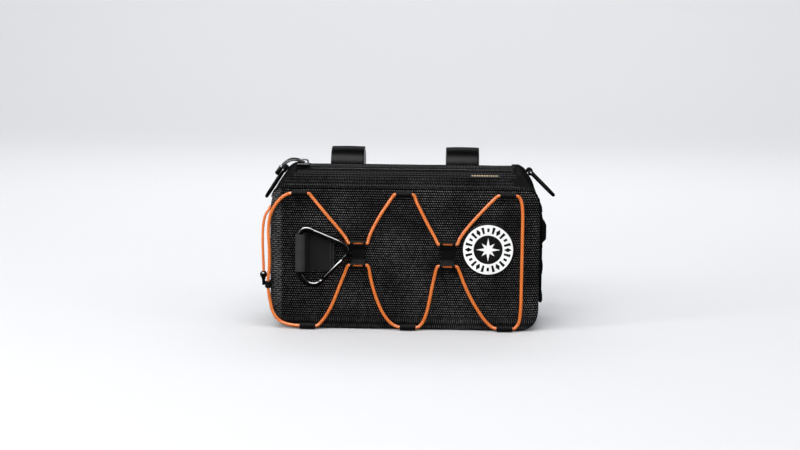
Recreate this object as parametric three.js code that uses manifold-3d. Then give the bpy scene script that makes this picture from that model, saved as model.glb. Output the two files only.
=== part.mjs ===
// Handlebar bag: a padded, zip-topped box of coarse mesh cloth that hangs from two straps on a bar.
// Millimetres. The front faces -Y and +Z is up. The origin is the middle of the flat bottom.

import * as THREE from "three";
import { mergeVertices } from "three/addons/utils/BufferGeometryUtils.js";
import Module from "manifold-3d";

const wasm = await Module();
wasm.setup();

// Body of the bag
const panelWidth = 237.4;
const bagDepth = 89;
const seamHeight = 126.5;
const topRise = 16.7;
const bottomRadius = 26;
const shoulderDrop = 8.5;
const shoulderReach = 16;
const shoulderPower = 1.5;
const shoulderLip = 1.2;
const sideBulge = 3.8;
const bulgeRun = 24;
const frontCrown = 4;
const frontPad = 4;
const sideWall = 3;
const backWall = 3.5;
const topWall = 2.4;
const seat = 0.3;

// Zip along the top, measured back from the front seam
const zipEndFlat = 3.2;
const zipFront = 20.5;
const zipBack = 49.5;
const coilWidth = 6;
const coilRaise = 0.6;
const tapeWall = 1.2;
const coilSetback = 34.8;
const sliderSize = { length: 12, width: 8.6, height: 3 };
const sliderInset = 6;
const bridgeHeight = 3.7;
const bridgeInset = 1.5;
const bridgeWall = 1.2;
const pullCordRadius = 0.9;
const pullEndRadius = 2.4;
const pullEndLength = 9;
const pullEndFoot = 1;
const pullEndTaper = 2;

// Cord lacing and its keepers
const cordRadius = 1.5;
const keeperWall = 1.1;
const keeperWidth = 14.5;
const keeperTail = 2;
const cordMouth = 1.3;
const tabMouth = 1;
const boreOverrun = 2;
const topKeeperDrop = 3.6;
const topKeeperTail = 3.4;
const bottomKeeperRise = 3.4;
const middleKeeperHeight = 27;
const middleChannelGap = 20;
const middleKeeperCentre = 69.4;
const keeperPlaces = {
  top: { left: -0.787, middle: -0.004, right: 0.773 },
  middle: { left: -0.345, right: 0.327 },
  bottom: { left: -0.726, middle: 0.033, right: 0.763 },
};
const sideTabLength = 6;
const sideTabReach = 7.5;
const sideTabWall = 1.4;
const stopBallRadius = 3.3;
const stopTipRadius = 1.3;
const stopLength = 13;

// Carabiner and the cloth band folded round its spine
const rodRadius = 2.6;
const spineShare = -0.7818;
const bandBottom = 53.6;
const bandTop = 87.2;
const bandReach = 31;
const foldTaper = 8;
const foldWall = 1.1;
const bandWall = 2.2;
const gateRadius = 2.1;
const gateTongue = 1.8;
const tongueDepth = 4;
const rivetRadius = 0.8;
const gateRunning = 0.4;
const gateChamfer = 0.8;
const pivotUp = 1.4;

// Trim
const patchPlace = { share: 0.6302, up: 74.7 };
const patchRadius = 24;
const patchWall = 1.6;
const labelLength = 27.5;
const labelWidth = 3.6;
const labelShare = 0.4886;
const labelWall = 0.8;
const labelInset = 1.6;
const webbingWidth = 20;
const webbingWall = 1.6;
const webbingSetback = 34.5;
const webbingBottom = 22;
const webbingDrop = 1;
const webbingLoop = 5.2;
const ringWire = 1.5;
const ringInside = 20;
const ringLength = 33;
const ringCorner = 2;
const ringSetback = 60.5;
const ringTabWall = 1.2;
const ringTabReach = 14;
const ringTabWidth = 18;
const ringLeanAngles = { left: 32.8, right: 45.5 };
const barRadius = 15.9;
const barClearance = 0.4;
const strapWall = 2.4;
const strapWidth = 31.5;
const strapTail = 42;
const strapDrop = 6.4;
const strapPlaces = { left: -0.4844, right: 0.4339 };

// Worked out from the sizes above
const halfWidth = panelWidth / 2;
const spineX = spineShare * halfWidth;
const patchX = patchPlace.share * halfWidth;
const labelLeft = labelShare * halfWidth;
const frontFace = -bagDepth / 2;
const backFace = bagDepth / 2;
const shoulder = seamHeight - shoulderDrop;
const topHeight = seamHeight + topRise;
const wallFront = frontFace + frontPad + seat;
const wallBack = backFace - backWall - seat;
const zipHalf = halfWidth - shoulderReach - zipEndFlat;
const coilMiddle = frontFace + coilSetback;
const keeperOuter = cordRadius + seat + keeperWall;
const channelRadius = cordRadius + seat;

// Height of the top along the depth and how far its shoulder rounds in, as shares of
// bagDepth, topRise and shoulderReach
const topSections = [
  { depth: 0.0, rise: 0.0, round: 0.4 },
  { depth: 0.05, rise: 0.16, round: 0.55 },
  { depth: 0.23, rise: 0.77, round: 0.95 },
  { depth: 0.34, rise: 0.885, round: 1.0 },
  { depth: 0.56, rise: 1.0, round: 1.0 },
  { depth: 0.84, rise: 0.94, round: 1.0 },
  { depth: 0.95, rise: 0.7, round: 0.85 },
  { depth: 1.0, rise: 0.42, round: 0.6 },
];

// Lacing runs between the keepers: x as a share of halfWidth, z, and how far the cord stands off the front
const laceRuns = {
  tabToBottomLeft: [
    [-1.0253, 34, -0.3], [-1.016, 26.6, -0.6], [-0.9933, 15.4, 0.1], [-0.952, 8.4, 0],
    [-0.8997, 4.8, 0], [-0.8416, 3.6, 0.8],
  ],
  bottomLeftToMiddle: [
    [-0.6403, 4.5, 0.9], [-0.6201, 7.2, 0.3], [-0.5872, 12.6, 0], [-0.5366, 23.9, 0], [-0.4701, 44.2, 0],
    [-0.4381, 54, 0.4], [-0.4271, 57.6, 0.9],
  ],
  middleToBottomMiddle: [
    [-0.2645, 57.6, 0.9], [-0.2578, 54, 0.4], [-0.2494, 47.9, 0], [-0.2106, 31.5, 0], [-0.1584, 16.7, 0],
    [-0.1045, 7.8, 0.3], [-0.064, 4.4, 0.9],
  ],
  bottomMiddleToRight: [
    [0.123, 4.4, 0.9], [0.1466, 8, 0.3], [0.1761, 17.4, 0], [0.2005, 31, 0], [0.2157, 41.1, 0],
    [0.2342, 51.6, 0.4], [0.2443, 56.6, 0.9],
  ],
  rightToBottomRight: [
    [0.4086, 57.3, 0.9], [0.4246, 53, 0.4], [0.4431, 47, 0], [0.4954, 33.2, 0], [0.5594, 20, 0],
    [0.6217, 9.6, 0.2], [0.6655, 4.8, 0.9],
  ],
  bottomRightToTopRight: [
    [0.8475, 4.4, 0.8], [0.8694, 8, 0.2], [0.8812, 18, 0], [0.8846, 46.8, 0], [0.8854, 83.6, 0],
    [0.8829, 110, 0], [0.8728, 118, 0.3], [0.8576, 121.6, 0.9],
  ],
  topRightToMiddle: [
    [0.6874, 121.6, 0.9], [0.6293, 114.8, 0.2], [0.5476, 104.4, 0], [0.465, 92.8, 0], [0.4179, 84.6, 0.4],
    [0.4061, 81.2, 0.9],
  ],
  middleToTopMiddle: [
    [0.2477, 81.2, 0.9], [0.2275, 86, 0.4], [0.182, 95.6, 0], [0.1196, 109.8, 0.1], [0.0893, 117, 0.4],
    [0.0775, 121, 0.9],
  ],
  topMiddleToLeft: [
    [-0.0876, 121, 0.9], [-0.1289, 113.8, 0.2], [-0.1853, 103.4, 0], [-0.2418, 90.6, 0], [-0.2612, 85, 0.4],
    [-0.2696, 81.4, 0.9],
  ],
  middleToTopLeft: [
    [-0.4246, 81.2, 0.9], [-0.4431, 84.6, 0.5], [-0.4718, 89, 0.1], [-0.508, 94.2, 0], [-0.5805, 104, 0],
    [-0.6529, 114.2, 0.2], [-0.7043, 121.4, 0.9],
  ],
  topLeftToTab: [
    [-0.8762, 122.2, 0.8], [-0.9115, 119.9, 0.2], [-0.9621, 113.6, 0], [-0.9992, 106.2, 0.1],
    [-1.0185, 98, -0.3], [-1.0244, 88, -0.6], [-1.0211, 78, -0.6], [-1.0177, 63, -0.6],
    [-1.0211, 52, -0.4], [-1.0261, 46, -0.2],
  ],
};
// Beside the left seam: how far out from the side, back from the front seam, and up
const tabPoint = { out: 3.2, back: -1.4, up: 40 };
const tailPoints = [
  [1.8, 3.5, 110], [2.8, 3.5, 107.2], [5.9, 3.3, 102.6], [7.9, 2.7, 94],
  [8.5, 2.1, 79], [8.1, 1.5, 66], [7.7, 1.1, 57], [7.7, 1.1, 52.2],
];
const stopPoint = { out: 7.7, back: 1.1, up: 48.6 };
// The zip's pull cord, from the slider's bridge: along the zip, back from it and up
const pullRoute = [
  [-18.6, -6.4, -3.6], [-15.4, -6.8, -0.6], [-10.6, -6.6, 1.8], [-6.2, -5.4, 2], [-2.8, -4, 0.8], [-0.6, -3, 0],
  [0.4, 0, 0], [-0.6, 3, 0], [-2.8, 4, 1.2], [-6.2, 3.2, 2.4], [-11, -0.6, 2.8], [-15.6, -3.6, 0.8],
  [-19, -4.2, -2.4],
];
const pullAim = { x: -0.55, y: -0.1, z: -0.8 };

// Carabiner outline, seen from the front: out from its spine and up, from the gate's hinge round to its nose
const carabinerRoute = [
  [19.4, 44.8], [16.6, 42.7], [12.2, 42], [7.2, 42.6], [2.8, 44.8], [0.4, 47.4], [0, 50.6],
  [0, 70], [0, 89.6], [0.6, 91], [3, 92.2], [6.2, 91.6], [12.8, 88.8], [25.8, 84],
  [36.2, 79.9], [40.4, 76.8], [42.6, 73], [42.8, 70.4], [42, 68.2], [40.5, 66.6],
];

// Numbers between rows of a table
function readTable(rows, key, share) {
  const at = THREE.MathUtils.clamp(share, 0, 1);
  const next = Math.max(1, rows.findIndex((row) => row.depth >= at));
  const [low, high] = [rows[next - 1], rows[next]];
  return THREE.MathUtils.mapLinear(at, low.depth, high.depth, low[key], high[key]);
}

function topAt(y) {
  return seamHeight + topRise * readTable(topSections, "rise", (y - frontFace) / bagDepth);
}

function roundAt(y) {
  return shoulderReach * readTable(topSections, "round", (y - frontFace) / bagDepth);
}

// The sides swell between the front and back seams and flatten out at the shoulder
function sideAt(y, z) {
  const across = Math.max(0, 1 - (2 * y / (wallBack - wallFront)) ** 2);
  const down = THREE.MathUtils.smoothstep(shoulder - z, 0, bulgeRun);
  return halfWidth + sideBulge * across * down;
}

// The padded front stands proud of its seam
function frontAt(x, z) {
  const across = 1 - Math.min(1, Math.abs(x / halfWidth)) ** 8;
  const up = 1 - Math.min(1, Math.abs(2 * z / seamHeight - 1)) ** 5;
  return frontFace - frontCrown * across * up;
}

function span(from, to, count) {
  return Array.from({ length: count + 1 }, (_, step) => from + ((to - from) * step) / count);
}

function mirrored(points) {
  return points.map(([x, z]) => [-x, z]).reverse();
}

// From the left shoulder down, along the bottom and up to the right shoulder
function lowerPath(y) {
  const side = span(shoulder, bottomRadius, 7).map((z) => [-sideAt(y, z), z]);
  const middle = bottomRadius - sideAt(y, bottomRadius);
  const corner = span(0, Math.PI / 2, 6).slice(1).map((angle) => [
    middle - bottomRadius * Math.cos(angle), bottomRadius - bottomRadius * Math.sin(angle),
  ]);
  const left = [...side, ...corner];
  const bottom = span(middle, -middle, 6).slice(1, -1).map((x) => [x, 0]);
  return [...left, ...bottom, ...mirrored(left)];
}

// The rounded shoulder on the left, from its foot to the flat top
function shoulderPath(y, foot) {
  const reach = roundAt(y);
  const rise = topAt(y) - foot - shoulderLip;
  const curve = span(0, Math.PI / 2, 6).map((angle) => [
    -halfWidth + reach - reach * Math.cos(angle) ** (2 / shoulderPower),
    foot + shoulderLip + rise * Math.sin(angle) ** (2 / shoulderPower),
  ]);
  return [[-halfWidth, foot], ...curve];
}

function topPath(y, foot) {
  const left = shoulderPath(y, foot);
  const flat = roundAt(y) - halfWidth;
  const middle = span(flat, -flat, 8).slice(1, -1).map((x) => [x, topAt(y)]);
  return [...left, ...middle, ...mirrored(left)];
}

// Moves an open path sideways by a distance, to the left of its direction
function offsetPath(path, distance) {
  return path.map(([x, z], index) => {
    const before = path[Math.max(0, index - 1)];
    const after = path[Math.min(path.length - 1, index + 1)];
    const run = new THREE.Vector2(after[0] - before[0], after[1] - before[1]).normalize();
    return [x - run.y * distance, z + run.x * distance];
  });
}

// Closes a mesh from its triangles, with its faces turned outwards
function closed(positions, triangles) {
  let volume = 0;
  const [a, b, c] = [new THREE.Vector3(), new THREE.Vector3(), new THREE.Vector3()];
  for (const [i, j, k] of triangles) {
    volume += a.copy(positions[i]).dot(b.copy(positions[j]).cross(c.copy(positions[k])));
  }
  const order = volume < 0 ? triangles.map(([i, j, k]) => [i, k, j]) : triangles;
  const geometry = new THREE.BufferGeometry().setFromPoints(positions);
  geometry.setIndex(order.flat());
  return geometry;
}

// A solid wall between two grids of points of the same size
function wallBetween(outer, inner) {
  const [rows, columns] = [outer.length, outer[0].length];
  const positions = [...outer.flat(), ...inner.flat()];
  const at = (sheet, row, column) => sheet * rows * columns + row * columns + column;
  const triangles = [];
  const quad = (i, j, k, l) => triangles.push([i, j, k], [i, k, l]);
  for (let row = 0; row < rows - 1; row += 1) {
    for (let column = 0; column < columns - 1; column += 1) {
      quad(at(0, row, column), at(0, row + 1, column), at(0, row + 1, column + 1), at(0, row, column + 1));
      quad(at(1, row, column), at(1, row, column + 1), at(1, row + 1, column + 1), at(1, row + 1, column));
    }
  }
  for (let row = 0; row < rows - 1; row += 1) {
    const last = columns - 1;
    quad(at(0, row, 0), at(1, row, 0), at(1, row + 1, 0), at(0, row + 1, 0));
    quad(at(0, row, last), at(0, row + 1, last), at(1, row + 1, last), at(1, row, last));
  }
  for (let column = 0; column < columns - 1; column += 1) {
    const last = rows - 1;
    quad(at(0, 0, column), at(0, 0, column + 1), at(1, 0, column + 1), at(1, 0, column));
    quad(at(0, last, column), at(1, last, column), at(1, last, column + 1), at(0, last, column + 1));
  }
  return closed(positions, triangles);
}

// A strip of the bag's wall: the path at each depth, from one offset to another
function wallStrip(pathAt, depths, outside, inside) {
  const sheet = (distance) => depths.map((y) =>
    offsetPath(pathAt(y), distance).map(([x, z]) => new THREE.Vector3(x, y, z)));
  return wallBetween(sheet(outside), sheet(inside));
}

// A plate between two height fields, over an outline at its front and one at its back
function plate(frontLoop, backLoop, frontY, backY, shares) {
  const count = frontLoop.length;
  const positions = [];
  const triangles = [];
  for (const [loop, heightAt] of [[frontLoop, frontY], [backLoop, backY]]) {
    const centre = [0, 1].map((axis) => loop.reduce((sum, point) => sum + point[axis], 0) / count);
    for (const share of shares) {
      for (const [x, z] of loop) {
        const place = [centre[0] + (x - centre[0]) * share, centre[1] + (z - centre[1]) * share];
        positions.push(new THREE.Vector3(place[0], heightAt(...place), place[1]));
      }
    }
    positions.push(new THREE.Vector3(centre[0], heightAt(...centre), centre[1]));
  }
  const sheetSize = count * shares.length + 1;
  for (const sheet of [0, 1]) {
    const turn = (i, j, k) => triangles.push(sheet ? [i, k, j] : [i, j, k]);
    const start = sheet * sheetSize;
    for (let ring = 0; ring < shares.length; ring += 1) {
      for (let index = 0; index < count; index += 1) {
        const next = (index + 1) % count;
        const [a, b] = [start + ring * count + index, start + ring * count + next];
        if (ring === shares.length - 1) {
          turn(a, b, start + sheetSize - 1);
        } else {
          turn(a, b, b + count);
          turn(a, b + count, a + count);
        }
      }
    }
  }
  for (let index = 0; index < count; index += 1) {
    const next = (index + 1) % count;
    triangles.push([index, index + sheetSize, next + sheetSize], [index, next + sheetSize, next]);
  }
  return closed(positions, triangles);
}

function toSolid(geometry) {
  const bare = new THREE.BufferGeometry();
  bare.setAttribute("position", geometry.getAttribute("position").clone());
  bare.setIndex(geometry.getIndex());
  const merged = mergeVertices(bare, 1e-4);
  return new wasm.Manifold(new wasm.Mesh({
    numProp: 3,
    vertProperties: new Float32Array(merged.getAttribute("position").array),
    triVerts: new Uint32Array(merged.getIndex().array),
  }));
}

function fromSolid(solid) {
  const mesh = solid.getMesh();
  const geometry = new THREE.BufferGeometry();
  geometry.setAttribute("position", new THREE.BufferAttribute(mesh.vertProperties, 3));
  geometry.setIndex(new THREE.BufferAttribute(mesh.triVerts, 1));
  return geometry;
}

function joined(parts, cuts = []) {
  const whole = parts.map(toSolid).reduce((sum, part) => sum.add(part));
  return fromSolid(cuts.map(toSolid).reduce((rest, cut) => rest.subtract(cut), whole));
}

// Prisms, centred on the axis they run along
function prismAlongX(shape, length) {
  const geometry = new THREE.ExtrudeGeometry(shape, { depth: length, bevelEnabled: false, curveSegments: 10 });
  geometry.translate(0, 0, -length / 2);
  const turn = new THREE.Matrix4().makeBasis(
    new THREE.Vector3(0, 1, 0), new THREE.Vector3(0, 0, 1), new THREE.Vector3(1, 0, 0));
  return geometry.applyMatrix4(turn);
}

function prismAlongY(shape, length) {
  const geometry = new THREE.ExtrudeGeometry(shape, { depth: length, bevelEnabled: false, curveSegments: 10 });
  geometry.translate(0, 0, -length / 2);
  return geometry.rotateX(Math.PI / 2);
}

function prismAlongZ(shape, length) {
  const geometry = new THREE.ExtrudeGeometry(shape, { depth: length, bevelEnabled: false, curveSegments: 10 });
  return geometry.translate(0, 0, -length / 2);
}

function outline(points) {
  return new THREE.Shape(points.map(([u, v]) => new THREE.Vector2(u, v)));
}

function rectangle(left, right, bottom, top) {
  return outline([[left, bottom], [right, bottom], [right, top], [left, top]]);
}

function circle(radius, u = 0, v = 0) {
  return new THREE.Shape().absarc(u, v, radius, 0, 2 * Math.PI);
}

// A smooth curve whose stations keep to its chosen points, close together where they are close
class StationCurve extends THREE.CatmullRomCurve3 {
  getPointAt(share, target) {
    return this.getPoint(share, target);
  }

  getTangentAt(share, target) {
    return this.getTangent(share, target);
  }
}

function tube(points, radius, sides, stepsEach, loop = false) {
  const curve = new StationCurve(points, loop, "centripetal");
  const steps = stepsEach * (loop ? points.length : points.length - 1);
  const ring = outline(span(0, 2 * Math.PI, sides).slice(0, -1).map((angle) => [
    radius * Math.cos(angle), radius * Math.sin(angle),
  ]));
  return new THREE.ExtrudeGeometry(ring, { steps, extrudePath: curve });
}

function turned(profile, sides) {
  return new THREE.LatheGeometry(profile.map(([r, h]) => new THREE.Vector2(r, h)), sides).rotateX(Math.PI / 2);
}

const cloth = { color: 0x17181a, roughness: 0.85, metalness: 0 };
const webbing = { color: 0x121314, roughness: 0.7, metalness: 0 };
const coatedCloth = { color: 0x1d1e20, roughness: 0.45, metalness: 0 };
const glossBlack = { color: 0x08090a, roughness: 0.15, metalness: 0.4 };
const orangeCord = { color: 0xf26a1b, roughness: 0.6, metalness: 0 };

const bag = new THREE.Group();

function addPiece(parent, name, geometry, finish, place = [0, 0, 0]) {
  const mesh = new THREE.Mesh(geometry, new THREE.MeshStandardMaterial(finish));
  mesh.name = name;
  mesh.position.set(...place);
  parent.add(mesh);
  return mesh;
}

// The padded front, its lower corners round and its top edge at the front seam
function wholeLoop(y) {
  return [...lowerPath(y), ...topPath(y, shoulder).reverse().slice(1, -1)];
}

const panelRings = [1, 0.975, 0.93, 0.84, 0.6];
addPiece(bag, "front_panel", plate(
  wholeLoop(frontFace), wholeLoop(frontFace + frontPad),
  frontAt, (x, z) => frontAt(x, z) + frontPad, panelRings,
), cloth);

addPiece(bag, "back_panel", plate(
  wholeLoop(backFace - backWall), wholeLoop(backFace),
  () => backFace - backWall, () => backFace, [1],
), cloth);

// Both sides and the bottom are one strip
addPiece(bag, "gusset", wallStrip(lowerPath, span(wallFront, wallBack, 6), 0, sideWall), cloth);

// The top: two bands, the zip between them and a small end piece at each shoulder
const foot = shoulder + seat;
const zipStart = frontFace + zipFront;
const zipEnd = frontFace + zipBack;
const overTop = (y) => topPath(y, foot).reverse();
addPiece(bag, "top_front_band",
  wallStrip(overTop, span(wallFront, zipStart - seat, 3), 0, topWall), cloth);
addPiece(bag, "top_back_band",
  wallStrip(overTop, span(zipEnd + seat, wallBack, 5), 0, topWall), cloth);

const zipLine = (y) => span(zipHalf, -zipHalf, 10).map((x) => [x, topAt(y)]);
const coilFront = coilMiddle - coilWidth / 2;
const coilBack = coilMiddle + coilWidth / 2;
addPiece(bag, "zip_tape_front",
  wallStrip(zipLine, [zipStart, coilFront - seat], 0, tapeWall), webbing);
addPiece(bag, "zip_coil",
  wallStrip(zipLine, [coilFront, coilMiddle, coilBack], -coilRaise, tapeWall), webbing);
addPiece(bag, "zip_tape_back",
  wallStrip(zipLine, [coilBack + seat, zipEnd], 0, tapeWall), webbing);

function zipEndPath(y, side) {
  const left = [...shoulderPath(y, foot), [-zipHalf - seat, topAt(y)]];
  return side < 0 ? left.reverse() : mirrored(left).reverse();
}

for (const [name, side] of [["left", -1], ["right", 1]]) {
  addPiece(bag, `zip_end_${name}`, wallStrip(
    (y) => zipEndPath(y, side), [zipStart, coilMiddle, zipEnd], 0, topWall), webbing);
}

// Slider with an arched bridge, and a cord pull through it
const sliderX = sliderInset - zipHalf;
const sliderBottom = topAt(coilMiddle + sliderSize.width / 2) + coilRaise + seat;
const bridgeTop = sliderSize.height + bridgeHeight;
const bridgeHalf = sliderSize.length / 2 - bridgeInset;
const slider = joined([
  prismAlongZ(rectangle(-sliderSize.length / 2, sliderSize.length / 2,
    -sliderSize.width / 2, sliderSize.width / 2), sliderSize.height).translate(0, 0, sliderSize.height / 2),
  prismAlongY(rectangle(-bridgeHalf, bridgeHalf, sliderSize.height - seat, bridgeTop), sliderSize.width / 3),
], [
  prismAlongY(rectangle(bridgeWall - bridgeHalf, bridgeHalf - bridgeWall,
    sliderSize.height, bridgeTop - bridgeWall), sliderSize.width),
]);
addPiece(bag, "zip_slider", slider, glossBlack, [sliderX, coilMiddle, sliderBottom]);

const pullZ = sliderBottom + sliderSize.height + pullCordRadius + seat;
const pullLoop = pullRoute.map(([along, back, up]) =>
  new THREE.Vector3(sliderX + along, coilMiddle + back, pullZ + up));
addPiece(bag, "zip_pull_cord", tube(pullLoop, pullCordRadius, 6, 2), webbing);

const pullEnd = turned([
  [0, 0], [pullEndRadius * 0.9, 0], [pullEndRadius, pullEndFoot], [pullEndRadius, pullEndLength - pullEndTaper],
  [pullEndRadius * 0.6, pullEndLength], [0, pullEndLength],
], 12);
const pullDrop = new THREE.Vector3(pullAim.x, pullAim.y, pullAim.z).normalize();
const pullEndPiece = addPiece(bag, "zip_pull_end", pullEnd, glossBlack,
  pullLoop[0].clone().lerp(pullLoop[pullLoop.length - 1], 0.5).addScaledVector(pullDrop, 4 * seat).toArray());
pullEndPiece.quaternion.setFromUnitVectors(new THREE.Vector3(0, 0, 1), pullDrop);

// Keepers: cloth loops round the cord, each on a flat tail that is sewn to the front
function keeperBody(width, channels, tail) {
  const loops = channels.map((z) => prismAlongX(circle(keeperOuter, 0, z), width));
  const strip = prismAlongX(rectangle(keeperOuter - keeperTail, keeperOuter, tail[0], tail[1]), width);
  const bores = channels.map((z) => prismAlongX(circle(channelRadius, 0, z), width + boreOverrun));
  return joined([...loops, strip], bores);
}

function frontmost(x, bottom, top) {
  const places = span(bottom, top, 6).flatMap((z) => [-0.5, 0, 0.5].map((share) => [x + share * keeperWidth, z]));
  return Math.min(...places.map(([px, pz]) => frontAt(px, pz)));
}

const keepers = {};
function addKeeper(name, share, centreZ, channels, tail) {
  const x = share * halfWidth;
  const y = frontmost(x, centreZ + tail[0] - tabMouth, centreZ + tail[1]) - seat - keeperOuter;
  addPiece(bag, name, keeperBody(keeperWidth, channels, tail), webbing, [x, y, centreZ]);
  keepers[name] = { x, y, channels: channels.map((z) => centreZ + z) };
}

for (const [side, share] of Object.entries(keeperPlaces.top)) {
  addKeeper(`top_keeper_${side}`, share, seamHeight - topKeeperDrop, [0], [-keeperOuter * 0.6, topKeeperTail]);
}
for (const [side, share] of Object.entries(keeperPlaces.bottom)) {
  addKeeper(`bottom_keeper_${side}`, share, bottomKeeperRise, [0], [-keeperOuter, keeperOuter * 0.6]);
}
for (const [side, share] of Object.entries(keeperPlaces.middle)) {
  const half = middleKeeperHeight / 2;
  addKeeper(`middle_keeper_${side}`, share, middleKeeperCentre,
    [-middleChannelGap / 2, middleChannelGap / 2], [-half, half]);
}

// The lacing passes every keeper once and both its ends meet inside the side tab
function through(name, channel, direction) {
  const { x, y, channels } = keepers[name];
  const reach = keeperWidth / 2 + cordMouth;
  return [-reach, -keeperWidth / 2, 0, keeperWidth / 2, reach].map((along) =>
    new THREE.Vector3(x + direction * along, y, channels[channel]));
}

function run(points) {
  return points.map(([share, z, lift]) => {
    const x = share * halfWidth;
    return new THREE.Vector3(x, frontAt(x, z) - cordRadius - seat - lift, z);
  });
}

function besideSeam({ out, back, up }) {
  return new THREE.Vector3(-halfWidth - out, frontFace + back, up);
}

const tabPlace = besideSeam(tabPoint);
function tabPass(fromZ, toZ) {
  return [fromZ, toZ].map((z) => new THREE.Vector3(tabPlace.x, tabPlace.y, z));
}

const lacePath = [
  ...tabPass(tabPlace.z - seat, tabPlace.z - sideTabLength / 2 - tabMouth),
  ...run(laceRuns.tabToBottomLeft), ...through("bottom_keeper_left", 0, 1),
  ...run(laceRuns.bottomLeftToMiddle), ...through("middle_keeper_left", 0, 1),
  ...run(laceRuns.middleToBottomMiddle), ...through("bottom_keeper_middle", 0, 1),
  ...run(laceRuns.bottomMiddleToRight), ...through("middle_keeper_right", 0, 1),
  ...run(laceRuns.rightToBottomRight), ...through("bottom_keeper_right", 0, 1),
  ...run(laceRuns.bottomRightToTopRight), ...through("top_keeper_right", 0, -1),
  ...run(laceRuns.topRightToMiddle), ...through("middle_keeper_right", 1, -1),
  ...run(laceRuns.middleToTopMiddle), ...through("top_keeper_middle", 0, -1),
  ...run(laceRuns.topMiddleToLeft), ...through("middle_keeper_left", 1, -1),
  ...run(laceRuns.middleToTopLeft), ...through("top_keeper_left", 0, -1),
  ...run(laceRuns.topLeftToTab),
  ...tabPass(tabPlace.z + sideTabLength / 2 + tabMouth, tabPlace.z + seat),
];
addPiece(bag, "lace", tube(lacePath, cordRadius, 7, 1), orangeCord);
addPiece(bag, "lace_tail", tube(
  tailPoints.map(([out, back, up]) => besideSeam({ out, back, up })), cordRadius * 0.8, 7, 2), orangeCord);

// A tab sewn in the side seam holds the cord's ends, and a moulded stop hangs beside it
const tabInside = keeperOuter - sideTabWall / 3;
addPiece(bag, "side_tab", joined([
  prismAlongZ(circle(keeperOuter), sideTabLength),
  prismAlongZ(rectangle(tabInside - sideTabWall, tabInside, 0, sideTabReach), sideTabLength),
], [
  prismAlongZ(circle(channelRadius), sideTabLength + boreOverrun),
]), webbing, tabPlace.toArray());

const ballRing = span(-Math.PI / 4, Math.PI / 2, 6).map((angle) => [
  stopBallRadius * Math.cos(angle), stopBallRadius * Math.sin(angle),
]);
ballRing[ballRing.length - 1][0] = 0;
addPiece(bag, "cord_stop", turned([
  [0, stopBallRadius - stopLength], [stopTipRadius, stopBallRadius - stopLength], ...ballRing,
], 14), glossBlack, besideSeam(stopPoint).toArray());

// Carabiner, in a plane parallel to the front, held by the folded band round its spine
const bandBack = frontAt(0, seamHeight / 2) - seat;
const carabinerY = bandBack - bandWall - seat - rodRadius;
const foldOuter = rodRadius + seat + foldWall;
const bandHeight = bandTop - bandBottom;
const bandFace = bandBack - bandWall - carabinerY;
const bandFlat = rectangle(0, bandReach, bandFace, bandBack - carabinerY);
const bandWedge = outline([
  [0, -foldOuter], [foldOuter * 0.5, -foldOuter * 0.92], [foldTaper, bandFace],
  [foldTaper, bandBack - carabinerY], [0, bandBack - carabinerY],
]);
addPiece(bag, "carabiner_band", joined([
  prismAlongZ(circle(foldOuter), bandHeight),
  prismAlongZ(bandFlat, bandHeight),
  prismAlongZ(bandWedge, bandHeight),
], [
  prismAlongZ(circle(rodRadius + seat), bandHeight + boreOverrun),
]), coatedCloth, [spineX, carabinerY, (bandTop + bandBottom) / 2]);

const route = carabinerRoute.map(([out, z]) => new THREE.Vector3(out, 0, z));
const hinge = route[0];
const nose = route[route.length - 1];
const gateRun = new THREE.Vector3().subVectors(nose, hinge);
const gateLength = gateRun.length();
const gateAngle = Math.atan2(gateRun.x, gateRun.z);

function alongGate(geometry) {
  return geometry.rotateY(gateAngle).translate(hinge.x, hinge.y, hinge.z);
}

const carabiner = new THREE.Group();
carabiner.position.set(spineX, carabinerY, 0);
bag.add(carabiner);
const slotHalf = gateTongue / 2 + seat;
const hingeEnd = alongGate(prismAlongY(circle(rodRadius, 0, pivotUp), 2 * rodRadius));
const hingeSlot = alongGate(prismAlongY(rectangle(
  -2 * rodRadius, 2 * rodRadius, pivotUp - tongueDepth, 3 * rodRadius), 2 * slotHalf));
const rivetHole = alongGate(prismAlongY(circle(rivetRadius + seat, 0, pivotUp), 4 * rodRadius));
addPiece(carabiner, "carabiner_body", joined(
  [tube(route, rodRadius, 10, 2), hingeEnd], [hingeSlot, rivetHole]), glossBlack);
addPiece(carabiner, "carabiner_rivet", alongGate(
  prismAlongY(circle(rivetRadius, 0, pivotUp), 2 * rodRadius)), glossBlack);

const gateFoot = pivotUp + rodRadius + gateRunning;
const gateTop = gateLength - gateRunning;
const gateRod = turned([
  [0, gateFoot], [gateRadius * 0.8, gateFoot], [gateRadius, gateFoot + gateChamfer],
  [gateRadius, gateTop - gateChamfer], [gateRadius * 0.8, gateTop], [0, gateTop],
], 10);
const tongue = prismAlongY(circle(gateRadius * 0.9, 0, pivotUp), gateTongue);
const tongueNeck = prismAlongY(
  rectangle(-gateRadius * 0.7, gateRadius * 0.7, pivotUp, gateFoot + gateChamfer), gateTongue);
addPiece(carabiner, "carabiner_gate", joined(
  [alongGate(gateRod), alongGate(tongue), alongGate(tongueNeck)], [rivetHole]), glossBlack);

// Round patch and the small label, both laid on the cloth
const patchLoop = span(0, 2 * Math.PI, 32).slice(0, -1).map((angle) => [
  patchX + patchRadius * Math.cos(angle), patchPlace.up + patchRadius * Math.sin(angle),
]);
addPiece(bag, "round_patch", plate(patchLoop, patchLoop,
  (x, z) => frontAt(x, z) - seat - patchWall, (x, z) => frontAt(x, z) - seat, [1, 0.55]), webbing);

const labelLine = (y) => span(labelLeft + labelLength, labelLeft, 4).map((x) => [x, topAt(y)]);
addPiece(bag, "label_tab", wallStrip(labelLine,
  [zipStart - labelInset - labelWidth, zipStart - labelInset], -seat - labelWall, -seat), coatedCloth);

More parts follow.
